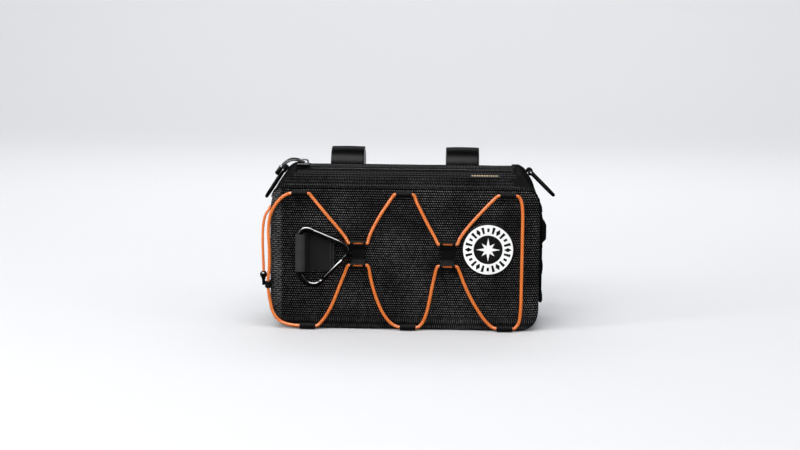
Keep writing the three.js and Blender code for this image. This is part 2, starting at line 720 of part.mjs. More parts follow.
// Webbing down the right side, sewn flat apart from one slack loop
const webbingMiddle = frontFace + webbingSetback;
const webbingTop = shoulder - webbingDrop;
const webbingRows = [
  { rise: 0, lift: 0 }, { rise: 0.3, lift: 0 }, { rise: 0.58, lift: 0 }, { rise: 0.635, lift: 1 },
  { rise: 0.735, lift: 1 }, { rise: 0.8, lift: 0 }, { rise: 0.87, lift: 0 }, { rise: 0.93, lift: 0 },
  { rise: 1, lift: 0 },
];
const webbingSide = (z) => {
  const nearest = THREE.MathUtils.clamp(0, webbingMiddle - webbingWidth / 2, webbingMiddle + webbingWidth / 2);
  return sideAt(nearest, z) + 2 * seat;
};
const webbingInner = webbingRows.map(({ rise, lift }) => {
  const z = THREE.MathUtils.lerp(webbingBottom, webbingTop, rise);
  return [webbingSide(z) + lift * webbingLoop, z];
});
const webbingOuter = offsetPath(webbingInner, -webbingWall);
addPiece(bag, "side_webbing", prismAlongY(outline([...webbingInner, ...webbingOuter.reverse()]), webbingWidth),
  webbing, [0, webbingMiddle, 0]);

// Rings at the shoulders: each swings about its straight bar, in a webbing tab sewn to the zip's end
const ringMiddle = frontFace + ringSetback;
const ringHalf = ringInside / 2 + ringWire;
const ringStraight = ringLength - ringWire - ringHalf;
const ringRoute = [
  [0, 0], [ringHalf - ringCorner, 0], [ringHalf - 0.3 * ringCorner, -0.3 * ringCorner],
  [ringHalf, -ringCorner], [ringHalf, -ringStraight],
  ...span(0, Math.PI, 6).slice(1, -1).map((angle) => [
    ringHalf * Math.cos(angle), -ringStraight - ringHalf * Math.sin(angle),
  ]),
  [-ringHalf, -ringStraight], [-ringHalf, -ringCorner],
  [0.3 * ringCorner - ringHalf, -0.3 * ringCorner], [ringCorner - ringHalf, 0],
].map(([y, z]) => new THREE.Vector3(0, y, z));
const ringTabDepths = span(ringMiddle - ringTabWidth / 2, ringMiddle + ringTabWidth / 2, 3);
const tabOuter = ringWire + seat + ringTabWall;

// The ring's bar lies over the bend of the shoulder, and its tab runs inwards from there
function ringTabPath(y) {
  const [low, high, ...rest] = shoulderPath(y, foot).slice(4);
  const middle = [(low[0] + high[0]) / 2, (low[1] + high[1]) / 2];
  return [[middle[0] + ringTabReach, topAt(y)], ...rest.reverse(), high, middle];
}

const highest = ringTabDepths[0];
const ringSeat = offsetPath(ringTabPath(highest), -seat - tabOuter).pop();
for (const [name, side] of [["left", -1], ["right", 1]]) {
  const group = new THREE.Group();
  group.position.set(-side * ringSeat[0], ringMiddle, ringSeat[1]);
  bag.add(group);
  const ring = addPiece(group, `d_ring_${name}`, tube(ringRoute, ringWire, 8, 2, true), glossBlack);
  ring.rotation.y = THREE.MathUtils.degToRad(-side * ringLeanAngles[name]);
  const tongue = wallStrip(
    (y) => ringTabPath(y).map(([x, z]) => [-side * x, z]), ringTabDepths,
    side * (seat + ringTabWall), side * seat);
  tongue.translate(side * ringSeat[0], -ringMiddle, -ringSeat[1]);
  const ringTab = joined([
    prismAlongY(circle(tabOuter), ringTabWidth), tongue,
  ], [
    prismAlongY(circle(ringWire + seat), ringTabWidth + boreOverrun),
  ]);
  addPiece(group, `ring_tab_${name}`, ringTab, webbing);
}

// Straps: a loop round the bar with its tail sewn flat down the back
const strapInner = barRadius + barClearance;
const strapOuter = strapInner + strapWall;
const strapY = backFace + seat + strapOuter;
const strapZ = topHeight - strapDrop;
for (const [name, share] of Object.entries(strapPlaces)) {
  addPiece(bag, `bar_strap_${name}`, joined([
    prismAlongX(circle(strapOuter), strapWidth),
    prismAlongX(rectangle(-strapOuter, strapWall - strapOuter, -strapTail, 0), strapWidth),
  ], [
    prismAlongX(circle(strapInner), strapWidth + boreOverrun),
  ]), coatedCloth, [share * halfWidth, strapY, strapZ]);
}

export default bag;
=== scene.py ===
# %% [markdown]
# # A handlebar bag with orange lacing
# This lesson dresses a measured model of a bag that hangs from a handlebar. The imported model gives
# every size and every place, and Blender adds what the eye wants: the weave of the cloth, the
# stitches, the braid of the cord and the gloss of the hardware. Lengths are written in millimetres,
# as a bag maker would, and turned into Blender's metres when a mesh is made.

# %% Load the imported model
import math
import bmesh
import bpy
import numpy as np
from mathutils import Matrix, Vector


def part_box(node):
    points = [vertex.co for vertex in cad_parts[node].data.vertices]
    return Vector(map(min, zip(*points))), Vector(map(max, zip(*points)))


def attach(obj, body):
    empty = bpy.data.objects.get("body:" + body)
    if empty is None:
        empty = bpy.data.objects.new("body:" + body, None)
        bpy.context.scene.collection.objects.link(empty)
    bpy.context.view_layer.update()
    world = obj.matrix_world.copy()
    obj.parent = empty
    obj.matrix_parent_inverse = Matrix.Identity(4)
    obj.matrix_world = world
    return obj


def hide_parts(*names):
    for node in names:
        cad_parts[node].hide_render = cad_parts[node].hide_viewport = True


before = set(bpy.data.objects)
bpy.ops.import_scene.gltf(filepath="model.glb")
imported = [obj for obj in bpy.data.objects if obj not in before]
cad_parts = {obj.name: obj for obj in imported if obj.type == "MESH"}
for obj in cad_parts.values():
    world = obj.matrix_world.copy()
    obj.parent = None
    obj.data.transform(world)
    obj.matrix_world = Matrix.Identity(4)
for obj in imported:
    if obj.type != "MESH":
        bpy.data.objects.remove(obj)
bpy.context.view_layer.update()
MM = 0.001

# %% [markdown]
# ## The view
# The photograph was taken from a little above and almost straight on, with a long lens, so the sides
# of the bag hardly converge. A 68 mm lens from 1.38 m away gives the same flattening. The camera's
# three axes are worked out from its height angle and its slight turn, and put into a matrix.

# %% Camera
TURN, LIFT, ROLL = (math.radians(angle) for angle in (2.0, 8.0, 0.5))
CAMERA_AT = (0.0427, -1.3789, 0.2828)


def camera_axes():
    view = Vector((-math.sin(TURN) * math.cos(LIFT), math.cos(TURN) * math.cos(LIFT), -math.sin(LIFT)))
    level = Vector((math.cos(TURN), math.sin(TURN), 0))
    rise = level.cross(view)
    right = level * math.cos(ROLL) + rise * math.sin(ROLL)
    up = rise * math.cos(ROLL) - level * math.sin(ROLL)
    return right, up, view


right, up, view = camera_axes()
lens = bpy.data.cameras.new("camera")
lens.lens, lens.sensor_width = 68.0, 36.0
lens.clip_end = 60.0
camera = bpy.data.objects.new("camera", lens)
camera.matrix_world = Matrix((
    (right.x, up.x, -view.x, CAMERA_AT[0]),
    (right.y, up.y, -view.y, CAMERA_AT[1]),
    (right.z, up.z, -view.z, CAMERA_AT[2]),
    (0, 0, 0, 1),
))
bpy.context.scene.collection.objects.link(camera)
bpy.context.scene.camera = camera
print("camera at", [round(c, 3) for c in camera.location])

# %% [markdown]
# ## Soft light
# Black cloth and glossy hardware want opposite things: the cloth a broad even light, the hardware a
# dark room with one bright shape in it that it can mirror as a line. A photographer hangs black cards
# round such a thing. Here the sky and the floor are simply left out of mirror-like rays, and one lamp
# is made to be seen by those rays alone. The other lamps light the cloth, the cord and the floor.

# %% Lamps and surroundings
world = bpy.data.worlds.new("studio")
world.use_nodes = True
world.node_tree.nodes["Background"].inputs["Color"].default_value = (0.93, 0.94, 0.96, 1)
world.node_tree.nodes["Background"].inputs["Strength"].default_value = 0.5
bpy.context.scene.world = world
world.cycles_visibility.glossy = False
bpy.context.scene.view_settings.view_transform = "Standard"


def soft_lamp(name, place, size, power, aim=(0, 0, 0.07), gloss_only=False):
    lamp = bpy.data.lights.new(name, "AREA")
    lamp.shape, lamp.size, lamp.size_y, lamp.energy = "RECTANGLE", size[0], size[1], power
    holder = bpy.data.objects.new(name, lamp)
    holder.location = place
    holder.rotation_euler = (Vector(aim) - Vector(place)).to_track_quat("-Z", "Y").to_euler()
    holder.visible_diffuse = not gloss_only
    bpy.context.scene.collection.objects.link(holder)


soft_lamp("front_lamp", (-0.5, -1.3, 1.2), (1.0, 0.5), 7.5)
soft_lamp("top_lamp", (-0.1, -0.5, 1.4), (1.3, 0.35), 7)
soft_lamp("left_lamp", (-1.3, -0.7, 0.7), (0.25, 0.9), 6)
soft_lamp("right_lamp", (1.3, -0.5, 0.75), (0.25, 0.9), 2)
soft_lamp("back_lamp", (0, 1.1, 1.2), (1.6, 0.5), 5)
soft_lamp("paper_lamp", (0, 1.0, 2.2), (4.0, 0.8), 40, aim=(0, 3.4, 1.0))
soft_lamp("gloss_lamp", (-0.35, -0.8, 1.25), (1.8, 0.8), 95, gloss_only=True)

# %% [markdown]
# ## The floor
# The bag stands on a pale sheet that runs back and curves up behind it, so no horizon cuts the
# picture. It isn't part of the object.

# %% Sweep of pale paper
def paper_sweep():
    flat_end, bend, steps = 2.0, 1.5, 12
    profile = [(-4.0, 0.0), (flat_end, 0.0)]
    for step in range(1, steps + 1):
        angle = math.radians(90 * step / steps)
        profile.append((flat_end + bend * math.sin(angle), bend - bend * math.cos(angle)))
    profile.append((flat_end + bend, 5.0))
    points = [(x, y, z) for x in (-6.0, 6.0) for y, z in profile]
    count = len(profile)
    faces = [(i, i + 1, count + i + 1, count + i) for i in range(count - 1)]
    mesh = bpy.data.meshes.new("paper")
    mesh.from_pydata(points, [], faces)
    mesh.polygons.foreach_set("use_smooth", [True] * len(faces))
    paper = bpy.data.objects.new("paper", mesh)
    bpy.context.scene.collection.objects.link(paper)
    finish = bpy.data.materials.new("pale_paper")
    finish.use_nodes = True
    shader = finish.node_tree.nodes["Principled BSDF"]
    shader.inputs["Base Color"].default_value = (0.80, 0.805, 0.82, 1)
    shader.inputs["Roughness"].default_value = 0.9
    shader.inputs["Specular IOR Level"].default_value = 0.0
    mesh.materials.append(finish)
    paper.visible_glossy = False
    return paper


paper_sweep()

# %% [markdown]
# ## A form that collects faces
# Every piece is built from a few kinds of sheet: a grid, a shell with two sides and an edge, or a
# tube swept along a line. One small class collects their points and faces, remembers where each
# corner lies on the cloth in millimetres, and turns it all into a Blender object at the end. The
# place on the cloth becomes a UV map, so that a weave keeps its real scale on every piece.

# %% Class for building a piece
class Form:
    def __init__(self):
        self.points, self.faces, self.corners, self.finish_of = [], [], [], []
        self.count = 0

    def add_points(self, points):
        points = np.asarray(points, float).reshape(-1, 3)
        first = self.count
        self.points.append(points)
        self.count += len(points)
        return np.arange(first, self.count)

    def add_face(self, indices, corners, finish=0):
        self.faces.append(tuple(int(i) for i in indices))
        self.corners.extend(corners)
        self.finish_of.append(finish)

    def shell(self, outer, inner, along, across, keep=None, wrap=(False, False), finish=0):
        """Two sheets of points with walls round every border; along and across are cloth places."""
        outer, inner = np.asarray(outer, float), np.asarray(inner, float)
        rows, cols = outer.shape[:2]
        ids = [self.add_points(sheet).reshape(rows, cols) for sheet in (outer, inner)]
        high, wide = rows - (not wrap[0]), cols - (not wrap[1])
        keep = np.ones((high, wide), bool) if keep is None else keep
        marks = np.broadcast_to(np.asarray(finish), (high, wide))

        def corner(r, c):
            return (along[r] if np.ndim(along[r]) == 0 else along[r][c],
                    across[c] if np.ndim(across[c]) == 0 else across[c][r])

        for r in range(high):
            for c in range(wide):
                if not keep[r, c]:
                    continue
                rn, cn = (r + 1) % rows, (c + 1) % cols
                spots = [(r, c), (r, c + 1), (r + 1, c + 1), (r + 1, c)]
                uv = [corner(*spot) for spot in spots]
                mark = int(marks[r, c])
                for sheet, order in ((0, (0, 1, 2, 3)), (1, (3, 2, 1, 0))):
                    four = [ids[sheet][r, c], ids[sheet][r, cn], ids[sheet][rn, cn], ids[sheet][rn, c]]
                    self.add_face([four[k] for k in order], [uv[k] for k in order], mark)
                walls = [
                    ((r - 1, c), (r, c), (r, cn), uv[0], uv[1]),
                    ((r + 1, c), (rn, cn), (rn, c), uv[2], uv[3]),
                    ((r, c - 1), (rn, c), (r, c), uv[3], uv[0]),
                    ((r, c + 1), (r, cn), (rn, cn), uv[1], uv[2]),
                ]
                for (nr, nc), a, b, ua, ub in walls:
                    nr = nr % rows if wrap[0] else nr
                    nc = nc % cols if wrap[1] else nc
                    if 0 <= nr < high and 0 <= nc < wide and keep[nr, nc]:
                        continue
                    self.add_face((ids[0][a], ids[1][a], ids[1][b], ids[0][b]), (ua, ua, ub, ub), mark)
    def cap(self, ring, tip, height, around):
        """A fan of faces from a ring of points to one point."""
        centre = self.add_points([tip])[0]
        for c in range(len(ring)):
            self.add_face((centre, ring[c], ring[(c + 1) % len(ring)]),
                          ((height, 0), (height, c * around), (height, (c + 1) * around)))

    def plate(self, top, under, places=None):
        """Two faces with as many points each, and the walls between them."""
        top, under = self.add_points(top), self.add_points(under)
        count = len(top)
        places = places or [(0, 0)] * count
        self.add_face(top, places)
        self.add_face(under[::-1], places[::-1])
        for c in range(count):
            n = (c + 1) % count
            self.add_face((top[c], under[c], under[n], top[n]), [places[c]] * 4)

    def tube(self, path, radius, sides, closed=False, domed=True):
        """A round section swept along a path; radius may be a number or one for each point."""
        path = np.asarray(path, float)
        count = len(path)
        radii = np.broadcast_to(np.asarray(radius, float), (count,))
        tangent = tangents(path, closed)
        normal, binormal = carried_frames(tangent, closed)
        angle = np.linspace(0, 2 * math.pi, sides, endpoint=False)
        across, rise = (radii[:, None] * turn(angle) for turn in (np.cos, np.sin))
        rings = (path[:, None, :] + across[..., None] * normal[:, None, :]
                 + rise[..., None] * binormal[:, None, :])
        run = run_length(path)
        if domed and not closed:
            caps = []
            for end, sign in ((0, -1), (-1, 1)):
                ring, centre, r = rings[end], path[end], radii[end]
                caps.append([centre + (ring - centre) * math.cos(a) + sign * tangent[end] * r * math.sin(a)
                             for a in (math.radians(35), math.radians(68))])
            rings = np.concatenate([np.array(caps[0][::-1]), rings, np.array(caps[1])])
            run = np.concatenate([[run[0] - radii[0], run[0] - radii[0] / 2], run,
                                  [run[-1] + radii[-1] / 2, run[-1] + radii[-1]]])
        ids = self.add_points(rings).reshape(len(rings), sides)
        around = 2 * math.pi * float(np.mean(radii)) / sides
        last = len(rings) if closed else len(rings) - 1
        for r in range(last):
            rn = (r + 1) % len(rings)
            u0 = run[r]
            u1 = run[r + 1] if r + 1 < len(run) else run[r] + run[-1] / (count - 1)
            for c in range(sides):
                cn = (c + 1) % sides
                corners = [(u, n * around) for u, n in ((u0, c), (u0, c + 1), (u1, c + 1), (u1, c))]
                self.add_face((ids[r, c], ids[r, cn], ids[rn, cn], ids[rn, c]), corners)
        if not closed:
            for end, ring in ((0, ids[0][::-1]), (-1, ids[-1])):
                reach = radii[end] * (0 if not domed else (1 if end else -1))
                self.cap(ring, path[end] + tangent[end] * reach, run[end], around)

    def turned(self, profile, origin, axis, sides):
        """A closed profile of (radius, height) turned round an axis."""
        axis = np.asarray(axis, float) / np.linalg.norm(axis)
        side = np.cross(axis, (0.3, 0.9, 0.31))
        side /= np.linalg.norm(side)
        other = np.cross(axis, side)
        origin = np.asarray(origin, float)
        angle = np.linspace(0, 2 * math.pi, sides, endpoint=False)
        rings = [origin + axis * h + r * (np.cos(angle)[:, None] * side + np.sin(angle)[:, None] * other)
                 for r, h in profile]
        ids = self.add_points(np.array(rings)).reshape(len(profile), sides)
        for r in range(len(profile) - 1):
            for c in range(sides):
                cn = (c + 1) % sides
                a, b = profile[r][1], profile[r + 1][1]
                self.add_face((ids[r, c], ids[r, cn], ids[r + 1, cn], ids[r + 1, c]),
                              ((a, c), (a, c + 1), (b, c + 1), (b, c)))
        for (r, h), ring in ((profile[0], ids[0][::-1]), (profile[-1], ids[-1])):
            self.cap(ring, origin + axis * h, h, 1)

    def mesh(self, name):
        made = bpy.data.meshes.new(name)
        made.from_pydata((np.concatenate(self.points) * MM).tolist(), [], self.faces)
        return made

    def build(self, name, body, finishes, slot, replaces=(), sharp=40, bevel=0.0, segments=2):
        """Makes the object, rounds its sharp edges if asked, and ties it to its body."""
        mesh = self.mesh(name)
        layer = mesh.uv_layers.new(name="cloth")
        layer.data.foreach_set("uv", np.asarray(self.corners, float).ravel())
        for finish in finishes:
            mesh.materials.append(finish)
        mesh.polygons.foreach_set("material_index", self.finish_of)
        merge_points(mesh)
        piece = bpy.data.objects.new(name, mesh)
        bpy.context.scene.collection.objects.link(piece)
        if bevel:
            soften(piece, bevel, segments)
        piece.data.polygons.foreach_set("use_smooth", [True] * len(piece.data.polygons))
        piece.data.set_sharp_from_angle(angle=math.radians(sharp))
        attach(piece, body)
        if replaces:
            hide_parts(*replaces)
        print(f"{name}: {len(piece.data.polygons)} faces")
        return piece


def merge_points(mesh):
    """Joins points that lie together, and turns every face outward."""
    work = bmesh.new()
    work.from_mesh(mesh)
    bmesh.ops.remove_doubles(work, verts=work.verts, dist=1e-7)
    bmesh.ops.recalc_face_normals(work, faces=work.faces)
    work.to_mesh(mesh)
    work.free()


def sheet_piece(name, outer, inner, along, across, finishes, slot, replaces=(), finish=0,
                turned=False, **settings):
    """A piece that is one sheet with two sides; turned lays the weave the other way."""
    form = Form()
    form.shell(outer, inner, along, across, finish=finish)
    if turned:
        form.corners = [(v, u) for u, v in form.corners]
    return form.build(name, "bag", finishes, slot, replaces, **settings)


# %% Frames along a path, and rounded edges
def tangents(path, closed=False):
    if closed:
        run = np.roll(path, -1, axis=0) - np.roll(path, 1, axis=0)
    else:
        run = np.gradient(path, axis=0)
    return run / np.linalg.norm(run, axis=1)[:, None]


def carried_frames(tangent, closed=False):
    """Two directions square to the path, carried along it with no twist of their own."""
    normal = np.zeros_like(tangent)
    start = np.cross(tangent[0], (0, 0, 1))
    if np.linalg.norm(start) < 0.1:
        start = np.cross(tangent[0], (0, 1, 0))
    normal[0] = start / np.linalg.norm(start)
    for i in range(1, len(tangent)):
        carried = normal[i - 1] - tangent[i] * np.dot(normal[i - 1], tangent[i])
        normal[i] = carried / np.linalg.norm(carried)
    if closed:
        carried = normal[-1] - tangent[0] * np.dot(normal[-1], tangent[0])
        carried /= np.linalg.norm(carried)
        turn = math.atan2(np.dot(np.cross(normal[0], carried), tangent[0]), np.dot(normal[0], carried))
        binormal = np.cross(tangent, normal)
        back = -turn * np.linspace(0, 1, len(tangent))[:, None]
        normal = normal * np.cos(back) + binormal * np.sin(back)
    return normal, np.cross(tangent, normal)


def soften(piece, width, segments, angle=35):
    edge = piece.modifiers.new("edge", "BEVEL")
    edge.width, edge.segments, edge.limit_method = width * MM, segments, "ANGLE"
    edge.angle_limit = math.radians(angle)
    apply_modifiers(piece)


def apply_modifiers(piece):
    bpy.context.view_layer.update()
    seen = piece.evaluated_get(bpy.context.evaluated_depsgraph_get())
    made = bpy.data.meshes.new_from_object(seen)
    piece.modifiers.clear()
    piece.data = made


def smooth_path(points, each=0.8, closed=False):
    """A centripetal spline through the points, cut into even steps of about the given length."""
    points = np.asarray(points, float)
    count = len(points)
    if closed:
        ring = np.concatenate([points[-1:], points, points[:2]])
    else:
        ring = np.concatenate([[2 * points[0] - points[1]], points, [2 * points[-1] - points[-2]]])
    fine = []
    for i in range(count if closed else count - 1):
        p0, p1, p2, p3 = ring[i:i + 4]
        d0, d1, d2 = (max(np.linalg.norm(b - a), 1e-6) ** 0.5 for a, b in ((p0, p1), (p1, p2), (p2, p3)))
        m1 = ((p1 - p0) / d0 - (p2 - p0) / (d0 + d1) + (p2 - p1) / d1) * d1
        m2 = ((p2 - p1) / d1 - (p3 - p1) / (d1 + d2) + (p3 - p2) / d2) * d1
        for t in np.linspace(0, 1, 13)[:-1]:
            fine.append((2 * t**3 - 3 * t**2 + 1) * p1 + (t**3 - 2 * t**2 + t) * m1
                        + (3 * t**2 - 2 * t**3) * p2 + (t**3 - t**2) * m2)
    fine.append(points[0] if closed else points[-1])
    fine = np.array(fine)
    run = run_length(fine)
    steps = max(4, int(round(run[-1] / each)))
    places = np.linspace(0, run[-1], steps + 1)
    even = np.stack([np.interp(places, run, fine[:, k]) for k in range(points.shape[1])], axis=1)
    return even[:-1] if closed else even


def run_length(path):
    """How far along the path each of its points is."""
    return np.concatenate([[0], np.cumsum(np.linalg.norm(np.diff(path, axis=0), axis=1))])


def beside(path, distance):
    """A flat path moved to the left of its direction."""
    run = np.gradient(path, axis=0)
    run /= np.linalg.norm(run, axis=1)[:, None]
    return path + distance * np.stack([-run[:, 1], run[:, 0]], axis=1)


# %% [markdown]
# ## Black mesh cloth
# The cloth is a coarse open weave: rows of small grey knots on black, each row set off by half a knot
# from the next. Drawing thousands of knots as mesh would be heavy and would gain nothing at this
# size, so the shader makes them from the cloth map: it finds the knot that a place belongs to, and
# how far from its middle the place is. The same distance drives the colour and the bump. The knots'
# grey is partly the yarn's own colour and partly a painted highlight on the glossy yarn. The noise that
# makes some knots lighter than others is painted light too.

# %% Nodes in few words
class Finish:
    def __init__(self, name, roughness=0.7, sheen=0.0, coat=0.0, specular=0.5):
        self.material = bpy.data.materials.new(name)
        self.material.use_nodes = True
        self.tree = self.material.node_tree
        self.shader = self.tree.nodes["Principled BSDF"]
        for socket, value in (("Roughness", roughness), ("Sheen Weight", sheen),
                              ("Coat Weight", coat), ("Specular IOR Level", specular)):
            self.shader.inputs[socket].default_value = value

    def node(self, kind, **settings):
        made = self.tree.nodes.new(kind)
        for key, value in settings.items():
            setattr(made, key, value)
        return made

    def feed(self, socket, value):
        """Links a socket to another, or sets it to a number or a colour."""
        if isinstance(value, bpy.types.NodeSocket):
            self.tree.links.new(value, socket)
        else:
            socket.default_value = (*value, 1) if isinstance(value, tuple) else value

    def math(self, operation, *values, clamp=False):
        made = self.node("ShaderNodeMath", operation=operation, use_clamp=clamp)
        for socket, value in zip(made.inputs, values):
            self.feed(socket, value)
        return made.outputs[0]

    def smooth(self, value, low, high, bottom=0.0, top=1.0):
        made = self.node("ShaderNodeMapRange", interpolation_type="SMOOTHSTEP")
        for socket, given in zip(made.inputs, (value, low, high, bottom, top)):
            self.feed(socket, given)
        return made.outputs[0]

    def cloth_place(self):
        spot = self.node("ShaderNodeUVMap", uv_map="cloth")
        split = self.node("ShaderNodeSeparateXYZ")
        self.feed(split.inputs[0], spot.outputs[0])
        return split.outputs[0], split.outputs[1]

    def noise(self, scale, detail):
        made = self.node("ShaderNodeTexNoise")
        made.inputs["Scale"].default_value = scale
        made.inputs["Detail"].default_value = detail
        self.feed(made.inputs["Vector"], self.node("ShaderNodeTexCoord").outputs["Object"])
        return made.outputs[0]

    def blend(self, share, first, second):
        made = self.node("ShaderNodeMix", data_type="RGBA")
        for index, value in ((0, share), (6, first), (7, second)):
            self.feed(made.inputs[index], value)
        return made.outputs[2]

    def colour(self, value):
        self.feed(self.shader.inputs["Base Color"], value)

    def bump(self, height, depth, strength):
        made = self.node("ShaderNodeBump")
        made.inputs["Distance"].default_value = depth * MM
        made.inputs["Strength"].default_value = strength
        self.feed(made.inputs["Height"], height)
        self.feed(self.shader.inputs["Normal"], made.outputs[0])


# %% Cloth of small knots
def dots(cloth, along, across, pitch, knot, slant=0.0):
    """How near each place is to a knot, 0 to 1, for rows of knots set off by half a pitch."""
    row = cloth.math("FLOOR", cloth.math("DIVIDE", across, pitch[1]))
    stagger = cloth.math("MULTIPLY", cloth.math("FLOORED_MODULO", row, 2.0), 0.5)
    place = cloth.math("ADD", cloth.math("DIVIDE", along, pitch[0]), stagger)
    u = cloth.math("SUBTRACT", cloth.math("FRACT", place), 0.5)
    v = cloth.math("SUBTRACT", cloth.math("FRACT", cloth.math("DIVIDE", across, pitch[1])), 0.5)
    u = cloth.math("ADD", u, cloth.math("MULTIPLY", v, slant))
    u = cloth.math("MULTIPLY", u, pitch[0] / knot[0])
    v = cloth.math("MULTIPLY", v, pitch[1] / knot[1])
    off = cloth.math("SQRT", cloth.math("ADD", cloth.math("MULTIPLY", u, u), cloth.math("MULTIPLY", v, v)))
    return cloth.smooth(off, 0.25, 0.85, 1.0, 0.0)


def light_and_dark(cloth, knots, bright):
    """Painted highlight: some knots are painted lighter, singly and in patches, as if they caught more light.
    """
    patchy = cloth.smooth(cloth.noise(26.0, 3.0), 0.3, 0.75, 0.35, 1.0)
    single = cloth.smooth(cloth.noise(420.0, 1.0), 0.3, 0.7, 0.4, 1.0)
    light = cloth.math("MULTIPLY", cloth.math("MULTIPLY", knots, patchy), single)
    # Painted highlight: the grey knots, lighter in noisy patches, are partly light on glossy yarn painted into
    # the colour.
    cloth.colour(cloth.blend(light, (0.0014, 0.0014, 0.0016), (bright, bright, bright * 1.01)))
    cloth.bump(knots, 0.35, 0.8)


def wandering_place(cloth):
    """The place on the cloth, with rows that wander a little up and down."""
    along, across = cloth.cloth_place()
    wander = cloth.math("MULTIPLY", cloth.math("SUBTRACT", cloth.noise(55.0, 1.0), 0.5), 0.9)
    return along, cloth.math("ADD", across, wander)


def mesh_cloth(name, pitch, knot, slant, bright):
    cloth = Finish(name, roughness=0.9, specular=0.0)
    along, across = wandering_place(cloth)
    light_and_dark(cloth, dots(cloth, along, across, pitch, knot, slant), bright)
    return cloth.material


# %% [markdown]
# The front panel is the same cloth, but the foam's edges stretch it. Low down, where it turns under,
# the knots draw out into upright strokes, and on the rolled left edge into level ones. So its finish
# mixes three patterns, and the mix depends on where on the panel a place is.

# %% Cloth of the front panel
def front_panel_cloth(name):
    cloth = Finish(name, roughness=0.9, specular=0.0)
    along, across = wandering_place(cloth)
    field = dots(cloth, along, across, (2.02, 2.15), (1.0, 0.85), 0.25)
    strokes = dots(cloth, along, across, (1.7, 6.0), (0.62, 4.6))
    lines = cloth.math("MULTIPLY", dots(cloth, along, across, (5.0, 1.9), (4.4, 1.0)), 1.2)
    low = cloth.smooth(across, 9.0, 15.0, 1.0, 0.0)
    edge = cloth.smooth(along, -111.5, -109.0, 1.0, 0.0)
    weave = cloth.math("ADD", cloth.math("MULTIPLY", field, cloth.math("SUBTRACT", 1.0, low)),
                       cloth.math("MULTIPLY", cloth.math("MULTIPLY", strokes, low), 0.6))
    weave = cloth.math("ADD", cloth.math("MULTIPLY", weave, cloth.math("SUBTRACT", 1.0, edge)),
                       cloth.math("MULTIPLY", lines, edge))
    light_and_dark(cloth, weave, 0.23)
    return cloth.material


front_cloth = front_panel_cloth("front_mesh_cloth")
side_cloth = mesh_cloth("side_mesh_cloth", (2.02, 2.15), (1.0, 0.85), 0.25, 0.2)
band_cloth = mesh_cloth("band_mesh_cloth", (1.5, 4.4), (0.55, 3.2), 0.1, 0.11)
hem_cloth = mesh_cloth("hem_mesh_cloth", (1.9, 1.7), (0.8, 0.8), 0.3, 0.14)
print("made", front_cloth.name, side_cloth.name, band_cloth.name, hem_cloth.name)

# %% [markdown]
# ## Webbing, coated cloth and thread
# Webbing is woven in tight ribs along its length, and its colour is painted lighter on the rib tops, in
# noisy patches: a painted sheen where the ribs would catch the light. The strap round the carabiner and
# the patch are coated cloth, almost smooth. The ribs and the grain are bump on a near-black ground, with
# a noise that keeps the ground from looking painted.

# %% Ribbed webbing
def ribbed(name, colour, rib=1.05, depth=0.22, roughness=0.5, sheen=0.03, across_ribs=0.5, specular=0.15):
    web = Finish(name, roughness=roughness, sheen=sheen, specular=specular)
    along, across = web.cloth_place()
    ribs = web.math("ABSOLUTE", web.math("SINE", web.math("MULTIPLY", across, math.pi / rib)))
    ticks = web.math("ABSOLUTE", web.math("SINE", web.math("MULTIPLY", along, math.pi / across_ribs)))
    height = web.math("ADD", web.math("MULTIPLY", ribs, 0.7), web.math("MULTIPLY", ticks, 0.3))
    sheen_patches = web.smooth(web.noise(60.0, 4.0), 0.35, 0.8)
    light = tuple(c * 2.0 + 0.001 for c in colour)
    # Painted sheen: the rib tops are painted lighter, in noisy patches, as if they caught the light.
    web.colour(web.blend(web.math("MULTIPLY", sheen_patches, height), colour, light))
    web.bump(height, depth, 0.7)
    return web.material


def coated(name, colour, grain=900.0, depth=0.05, roughness=0.42, sheen=0.0, specular=0.2):
    skin = Finish(name, roughness=roughness, sheen=sheen, specular=specular)
    fine = skin.noise(grain, 3.0)
    broad = skin.smooth(skin.noise(30.0, 3.0), 0.3, 0.75)
    skin.colour(skin.blend(broad, colour, tuple(c * 1.4 + 0.0006 for c in colour)))
    skin.bump(fine, depth, 0.6)
    return skin.material


webbing = ribbed("black_webbing", (0.0022, 0.0022, 0.0024), specular=0.04)
zip_cloth = ribbed("zip_tape", (0.003, 0.003, 0.0034), rib=0.7, depth=0.08, roughness=0.7, specular=0.0)
strap_cloth = ribbed("strap_webbing", (0.0018, 0.0018, 0.0021), rib=1.3, depth=0.05,
                     roughness=0.3, sheen=0.0, specular=0.035)
coated_cloth = coated("coated_cloth", (0.010, 0.010, 0.0103), roughness=0.5, specular=0.06)
# Painted highlight: a lighter copy of the coated cloth for the band's fold, where its curve catches the light.
fold_highlight_cloth = coated("fold_highlight_cloth", (0.036, 0.036, 0.037), roughness=0.5, specular=0.06)
smooth_tape = coated("smooth_tape", (0.003, 0.003, 0.0034), roughness=0.5, specular=0.03)
thread = coated("black_thread", (0.028, 0.028, 0.030), grain=2500.0, roughness=0.55)
pale_felt = coated("pale_felt", (0.42, 0.43, 0.45), grain=1500.0, depth=0.2, roughness=0.9, sheen=0.4)
print("webbing and coated cloths are ready")

# %% [markdown]
# ## Orange cord
# The lacing is braided elastic cord. Its strands run round the core in both directions, so the shader
# crosses two slanted waves on the cord's own map: one along its length and one round it. Between the
# strands the colour is painted darker, a painted shade in the grooves, and the braid stands up a little
# as bump.

